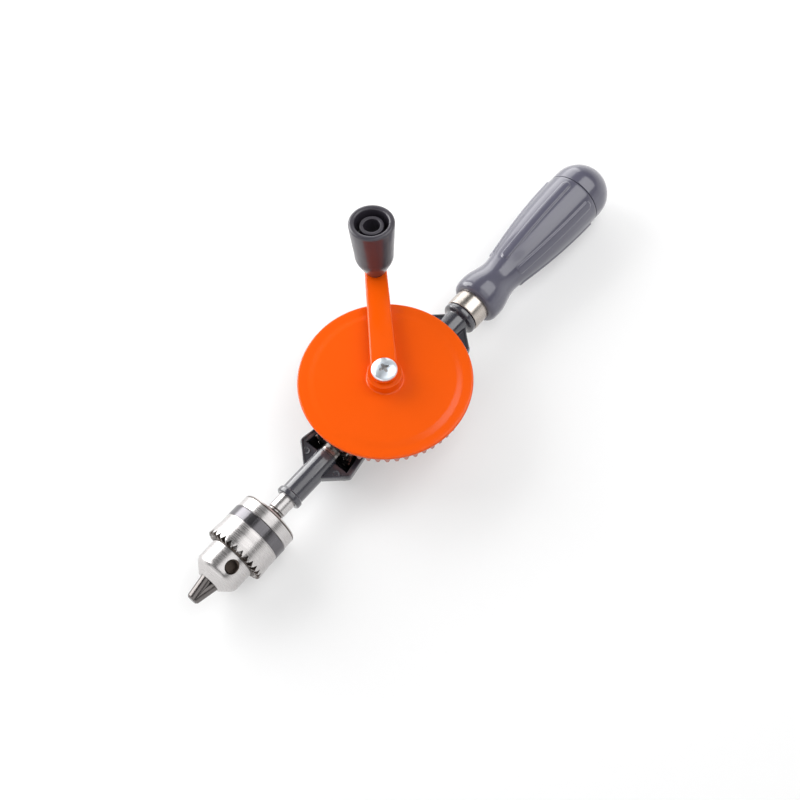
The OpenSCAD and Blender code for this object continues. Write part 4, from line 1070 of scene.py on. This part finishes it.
def cast_frame(rail_round):
    """Casting: rails with a raised edge swept round the plan, webs between, and tubes, hub and boss turned."""
    front, back = FRAME_FRONT - AXLE[0], FRAME_BACK - AXLE[0]
    rails = [frame_rail(RAIL_W, WEB_T, rail_round), frame_rail(EDGE_W, EDGE_H, rail_round)]
    w = RAIL_W / 2
    fall = (YOKE_HALF - TUBE_R) / (FLARE_END - WINDOW_END - 1)
    x = np.array([WINDOW_END, WINDOW_END + WEB_EASE, WINDOW_END + 1.0, FLARE_END - TIP_GAP])
    tip = YOKE_HALF - fall * (FLARE_END - TIP_GAP - WINDOW_END - 1)
    wide = np.array([YOKE_HALF, YOKE_HALF, YOKE_HALF, tip]) - w
    plate = WEB_T / 2 - WEB_GAP
    high = np.array([plate - WEB_EASE, plate, plate, plate])
    webs = [slab(x, wide, high, AXLE), slab(-x[::-1], wide[::-1], high[::-1], AXLE)]
    middle = np.array([-BOSS_END, -BOSS_END + WEB_EASE, 0, BOSS_END - WEB_EASE, BOSS_END])
    webs.append(slab(middle, WAIST_HALF + YOKE_SLOPE * np.abs(middle) - w,
                     plate - np.array([WEB_EASE, 0, 0, 0, WEB_EASE]), AXLE))
    tube = ring([
        (WINDOW_END - 0.6, TUBE_BORE, 0), (WINDOW_END - 0.6, TUBE_R, 0.5), (front - 3.9, TUBE_R, 0.6),
        (front - 3.1, COLLAR_R, 1.1), (front, COLLAR_R, 1.1), (front, TUBE_BORE, 0.25),
        (front - 3.0, TUBE_BORE, 0)
    ], 128, ALONG_X, AXLE)
    boss = ring([
        (-BOSS_END, BOSS_BORE, 0), (-BOSS_END, BOSS_R, 0.6), (BOSS_END, BOSS_R, 0.6), (BOSS_END, BOSS_BORE, 0.2),
        (7.0, BOSS_BORE, 0)
    ], 112, ALONG_X, AXLE)
    hub = ring([
        (-HUB_HALF, HUB_BORE, 0), (-HUB_HALF, HUB_R, 1.0), (HUB_HALF, HUB_R, 1.0), (HUB_HALF, HUB_BORE, 0.3),
        (0, HUB_BORE, 0)
    ], 128, ALONG_Z, AXLE)
    rear = ring([
        (-WINDOW_END + 0.6, ROD_BORE, 0), (-WINDOW_END + 0.6, REAR_TUBE_R, 0.5), (back + 4.3, REAR_TUBE_R, 0.8),
        (back + 3.4, FLANGE_R, 1.4), (back, FLANGE_R, 1.2), (back, ROD_BORE, 0), (back + 6, ROD_BORE, 0)
    ], 128, ALONG_X, AXLE)
    pads = []
    pad_top, pad_dip = WEB_T / 2 + 0.5, WEB_T / 2 + 0.12
    for side in (-1, 1):
        place = AXLE + np.array([WINDOW_END + 0.37 * (FLARE_END - WINDOW_END), side * 0.6 * YOKE_HALF, 0])
        pads.append(lathe(rounded_line([
            (0, 0, 0), (0, 2.3, 0), (pad_top, 2.2, 0.2), (pad_top, 1.7, 0.15), (pad_dip, 1.3, 0.2), (pad_dip, 0, 0)
        ]), 48, ALONG_Z, place))
    return rails + [tube, boss, hub, rear] + webs + pads


class DRILL_OT_frame(bpy.types.Operator):
    """Builds the cast frame"""

    bl_idname = "drill.casting"
    bl_label = "Cast frame"

    def execute(self, context):
        looks = context.scene.drill_looks
        parts = cast_frame(looks.casting.rail_round / MM) + gear_case(1) + gear_case(-1)
        add_piece("frame_casting", parts, finish(looks, "frame_enamel"), "frame", ["frame"],
                  second=finish(looks, "dark_grease"))
        return {"FINISHED"}


# Handle

RIBS = 6
RIB_ANGLE = math.radians(-9.0)
BEAD, WAIST, SWELL = (8.5, 14.8), (27.0, 11.7), 17.8
GRIP_LEN = FERRULE_BACK - SEAM
GRIP_FRONT = 2.0
RIB_START, RIB_END = WAIST[0] + 5.0, GRIP_LEN - 3.0
RIB_BLEND, RIB_RUN, FAR_ASIDE = 0.6, 3.0, 99.0
GROOVE_W, GROOVE_H = 0.5, 0.9
SPIGOT_R, FERRULE_BORE = 9.7, FERRULE_R - 1.0


def ferrule():
    """Ferrule: a thin ring turned round the spindle, with rolled edges."""
    back = FERRULE_BACK - GRIP_FRONT - 0.3
    return ring([
        (FERRULE_BACK + 4, FERRULE_BORE, 0), (back, FERRULE_BORE, 0), (back, FERRULE_R, 0.35),
        (FERRULE_FRONT, FERRULE_R, 0.6), (FERRULE_FRONT, FERRULE_BORE, 0.3), (FERRULE_FRONT - 3, FERRULE_BORE, 0)
    ], 160, steps=6)


def grip_line():
    """Outline of the grip, from its front: three cubic curves of distance and radius by bead, waist and swell."""
    front_r, rise, run = FERRULE_R + 0.4, GRIP_LEN - WAIST[0], WAIST[0] - BEAD[0]
    head = cubic((GRIP_FRONT, front_r), (GRIP_FRONT, BEAD[1] - 0.6), (BEAD[0] / 2, BEAD[1]), BEAD, 16)
    neck = cubic(BEAD, (BEAD[0] + 0.38 * run, BEAD[1]), (WAIST[0] - 0.38 * run, WAIST[1]), WAIST, 22)
    body = cubic(WAIST, (WAIST[0] + 0.13 * rise, WAIST[1]), (WAIST[0] + 0.43 * rise, SWELL), (GRIP_LEN, SWELL), 200)
    return np.concatenate([head, neck[1:], body[1:]])


def handle_grip(rib_height, rib_width):
    """Grip: its outline turned round the spindle and raised in ribs.

    A rib's height eases in over 1.2 mm with the distance inside a stadium: a straight line with half-round ends.
    The columns follow the ribs' edges: their angle is the arc sine of a fixed sideways distance over the radius.
    """
    line = grip_line()
    reach = np.unique(np.concatenate([
        line[:38, 0], np.linspace(WAIST[0], GRIP_LEN - 0.3, 70),
        np.linspace(RIB_START - RIB_RUN + 2, RIB_START + RIB_RUN + 1, 26),
        np.linspace(RIB_END - RIB_RUN - 1, RIB_END + RIB_RUN - 2, 26)
    ]))
    base = np.interp(reach, line[:, 0], line[:, 1])
    half = rib_width / 2
    edge = RIB_BLEND * np.array([-1.4, -1.0, -0.6, -0.2, 0.2, 0.6, 1.0, 1.6])
    near = np.concatenate([edge - half, [-0.8, 0.0]])
    near = np.concatenate([near, -near[-2::-1]])
    over = np.linspace(0, 1, 18)[1:-1]
    turn = np.arcsin(np.clip(near[None, :] / base[:, None], -1, 1))
    period = 2 * np.pi / RIBS
    gap = turn[:, -1:] + (period + turn[:, :1] - turn[:, -1:]) * over[None, :]
    local = np.concatenate([turn, gap], axis=1)
    angle = np.concatenate([local + RIB_ANGLE + k * period for k in range(RIBS)], axis=1)
    aside = np.tile(base[:, None] * np.sin(local), (1, RIBS))
    aside = np.where(np.abs(np.tile(local, (1, RIBS))) < np.pi / 2, aside, FAR_ASIDE)
    past = np.maximum(np.maximum(RIB_START + half - reach, reach - RIB_END + half), 0)[:, None]
    inside = half - np.hypot(past, aside)
    radius = base[:, None] + rib_height * ease(0.5 + inside / (2 * RIB_BLEND))
    along = FERRULE_BACK - reach
    lip, foot = FERRULE_FRONT - 0.1, FERRULE_BACK - GRIP_FRONT - 0.4
    spigot = np.array([[lip, 0], [lip, SPIGOT_R], [foot, SPIGOT_R]])
    tail = np.array([[SEAM + 0.1, SWELL - 0.1], [SEAM, SWELL - 0.3], [SEAM, 0]])
    columns = angle.shape[1]
    along = np.concatenate([spigot[:, 0], along, tail[:, 0]])[:, None]
    radius = np.concatenate([widened(spigot, 1, columns), radius, widened(tail, 1, columns)])
    angle = np.concatenate([np.repeat(angle[:1], 3, 0), angle, np.repeat(angle[-1:], 3, 0)])
    return sheet(revolved(along, radius, np.pi / 2 - angle))


def handle_cap():
    """Cap: a short cylinder and half an ellipse turned round the spindle, with a narrow groove at the seam."""
    cap_len = SEAM - CAP_END
    straight = 0.25 * cap_len
    swing = np.linspace(0, np.pi / 2, 28)
    dome = np.stack([SEAM - straight - (cap_len - straight) * np.sin(swing), CAP_R * np.cos(swing)], axis=1)
    dome[-1, 1] = 0
    seam = rounded_line([
        (SEAM, 0, 0), (SEAM, CAP_R - GROOVE_H, 0), (SEAM - GROOVE_W, CAP_R - GROOVE_H, 0),
        (SEAM - GROOVE_W, CAP_R, 0.35),
        (SEAM - straight, CAP_R, 0)
    ])
    return lathe(np.concatenate([seam[:-1], dome]), 160)


class DRILL_OT_handle(bpy.types.Operator):
    """Builds the ribbed grip, its cap and the ferrule"""

    bl_idname = "drill.handle"
    bl_label = "Handle"

    def execute(self, context):
        looks = context.scene.drill_looks
        plastic = finish(looks, "handle_plastic")
        grip = handle_grip(looks.handle.rib_height / MM, looks.handle.rib_width / MM)
        add_piece("handle_grip", [grip], plastic, "frame", ["handle"])
        add_piece("handle_cap", [handle_cap()], plastic, "frame", ["end_cap"])
        nickel = finish(looks, "nickel_plate")
        add_piece("ferrule_ring", [ferrule()], nickel, "frame", ["ferrule"])
        return {"FINISHED"}


# Stage

# Lamps: place and the point they face in metres, width and height, and share of the power
LAMPS = {
    "lamp_left_front": ((0.21, -0.694, 0.354), (0.21, 0.0, 0.0), (0.26, 0.79), 0.37),
    "lamp_left": ((-0.16, -0.717, 0.304), (-0.16, 0.0, 0.0), (0.48, 0.66), 0.585),
    "lamp_left_rear": ((-0.91, -0.717, 0.304), (-0.91, 0.0, 0.0), (0.78, 0.66), 0.48),
    "lamp_top": ((-0.06, 0.401, 0.861), (-0.06, 0.0, 0.0), (0.80, 0.81), 0.29),
    "lamp_top_rear": ((-0.86, 0.325, 0.893), (-0.86, 0.0, 0.0), (0.80, 1.01), 0.84),
    "lamp_front": ((0.62, 0.02, 0.38), (-0.10, 0.0, 0.0), (0.9, 0.5), 0.13),
}
FLOOR_HALF, FLOOR_GAP = 4.0, 0.0003
LIFT_START, LIFT_END = 0.35, 0.8
WALL_TOP, CEILING_START = 0.28, 0.42
CAMERA_PLACE, CAMERA_TURN = (0.080602, 0.223290, 0.591108), (27.7257, 1.8430, 130.2849)
CAMERA_LENS, CAMERA_SENSOR, CAMERA_NEAR = 54.0, 36.0, 0.01


def area_lamp(name, place, target, size, power):
    """Soft rectangular lamp at a place in metres, facing a target."""
    data = bpy.data.lights.new(name, "AREA")
    data.shape = "RECTANGLE"
    data.size, data.size_y = size
    data.energy = power
    lamp = bpy.data.objects.new(name, data)
    lamp.location = place
    lamp.rotation_euler = (Vector(target) - Vector(place)).to_track_quat("-Z", "Y").to_euler()
    bpy.context.scene.collection.objects.link(lamp)
    return lamp


def lift_floor(material, amount):
    """Lightens the floor where it is seen or mirrored, so that it ends in white.

    The light added grows in a straight line from an amount near the object to 1 farther out.
    """
    tree = material.node_tree
    shader = next(node for node in tree.nodes if node.type == "BSDF_PRINCIPLED")
    shader.inputs["Emission Color"].default_value = (1, 1, 1, 1)
    where = add_node(tree, "TexCoord", (-900, -550))
    middle = add_node(tree, "Mapping", (-720, -550), Location=[-MM * c for c in AXLE])
    away = add_node(tree, "VectorMath", (-540, -550))
    away.operation = "LENGTH"
    reach = add_node(tree, "MapRange", (-360, -550), From_Min=LIFT_START, From_Max=LIFT_END, To_Min=amount,
                     To_Max=1.0)
    path = add_node(tree, "LightPath", (-180, -550))
    seen = add_node(tree, "Math", (0, -550))
    shown = add_node(tree, "Math", (180, -550))
    shown.use_clamp = True
    light = add_node(tree, "Math", (360, -550))
    light.operation = "MULTIPLY"
    for node in (seen, shown):
        node.operation = "ADD"
    join(
        tree,
        (where, "Object", middle, "Vector"),
        (middle, "Vector", away, 0),
        (away, "Value", reach, "Value"),
        (path, "Is Camera Ray", seen, 0),
        (path, "Is Glossy Ray", seen, 1),
        (seen, "Value", shown, 0),
        (path, "Is Transmission Ray", shown, 1),
        (shown, "Value", light, 0),
        (reach, "Result", light, 1),
        (light, "Value", shader, "Emission Strength"),
    )


def studio_world(overhead):
    """World light: white walls to 16 degrees above the floor, falling to a dimmer ceiling from 25 degrees up."""
    world = bpy.data.worlds.new("studio")
    world.use_nodes = True
    tree = world.node_tree
    background = tree.nodes["Background"]
    background.inputs["Color"].default_value = (1, 1, 1, 1)
    where = add_node(tree, "TexCoord", (-600, 0))
    height = add_node(tree, "SeparateXYZ", (-400, 0))
    level = add_node(tree, "MapRange", (-200, 0), From_Min=WALL_TOP, From_Max=CEILING_START, To_Min=1.0,
                     To_Max=overhead)
    join(
        tree,
        (where, "Generated", height, "Vector"),
        (height, "Z", level, "Value"),
        (level, "Result", background, "Strength"),
    )
    return world


class DRILL_OT_stage(bpy.types.Operator):
    """Sets the floor, the lamps, the background and the camera"""

    bl_idname = "drill.stage"
    bl_label = "Stage"

    def execute(self, context):
        scene = context.scene
        looks = scene.drill_looks
        low, side = CAD_BOX[0][2] - FLOOR_GAP, FLOOR_HALF
        mesh = bpy.data.meshes.new("floor")
        mesh.from_pydata([(-side, -side, low), (side, -side, low), (side, side, low), (-side, side, low)], [],
                         [(0, 1, 2, 3)])
        white = finish(looks, "floor_white")
        lift_floor(white, looks.stage.lift)
        mesh.materials.append(white)
        floor = bpy.data.objects.new("floor", mesh)
        scene.collection.objects.link(floor)
        power = looks.stage.lamp
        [area_lamp(name, place, target, size, share * power)
                   for name, (place, target, size, share) in LAMPS.items()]
        scene.world = studio_world(looks.stage.ceiling)
        data = bpy.data.cameras.new("camera")
        data.lens, data.sensor_width, data.clip_start = CAMERA_LENS, CAMERA_SENSOR, CAMERA_NEAR
        camera = bpy.data.objects.new("camera", data)
        camera.location = CAMERA_PLACE
        camera.rotation_euler = Euler([math.radians(a) for a in CAMERA_TURN], "XYZ")
        scene.collection.objects.link(camera)
        scene.camera = camera
        scene.view_settings.view_transform = "Standard"
        return {"FINISHED"}


class DRILL_PT_looks(bpy.types.Panel):
    """Settings and steps of the drill's looks"""

    bl_idname = "DRILL_PT_looks"
    bl_label = "Hand drill"
    bl_space_type = "VIEW_3D"
    bl_region_type = "UI"
    bl_category = "Drill"

    def draw(self, context):
        looks = context.scene.drill_looks
        for group, steps in PANEL_ROWS:
            box = self.layout.box()
            settings = getattr(looks, group)
            for key in settings.__annotations__:
                box.prop(settings, key)
            for step in steps:
                box.operator(step)


PANEL_ROWS = (
    ("wheel", ("drill.wheel",)),
    ("crank", ("drill.crank", "drill.knob")),
    ("chuck", ("drill.chuck", "drill.spindle")),
    ("casting", ("drill.casting",)),
    ("handle", ("drill.handle",)),
    ("stage", ("drill.stage",)),
)

CLASSES = (
    DrillWheelLooks, DrillCrankLooks, DrillChuckLooks, DrillCastingLooks, DrillHandleLooks, DrillStageLooks,
    DrillLooks, DRILL_OT_wheel, DRILL_OT_crank, DRILL_OT_knob, DRILL_OT_chuck, DRILL_OT_spindle, DRILL_OT_frame,
    DRILL_OT_handle, DRILL_OT_stage, DRILL_PT_looks,
)


def register():
    """Adds the classes and the scene's settings."""
    for cls in CLASSES:
        bpy.utils.register_class(cls)
    bpy.types.Scene.drill_looks = PointerProperty(type=DrillLooks)


def unregister():
    """Removes the scene's settings and the classes."""
    del bpy.types.Scene.drill_looks
    for cls in reversed(CLASSES):
        bpy.utils.unregister_class(cls)


def main():
    """Builds every piece and the stage."""
    register()
    bpy.ops.drill.wheel()
    bpy.ops.drill.crank()
    bpy.ops.drill.knob()
    bpy.ops.drill.chuck()
    bpy.ops.drill.spindle()
    bpy.ops.drill.casting()
    bpy.ops.drill.handle()
    bpy.ops.drill.stage()


if __name__ == "__main__":
    main()
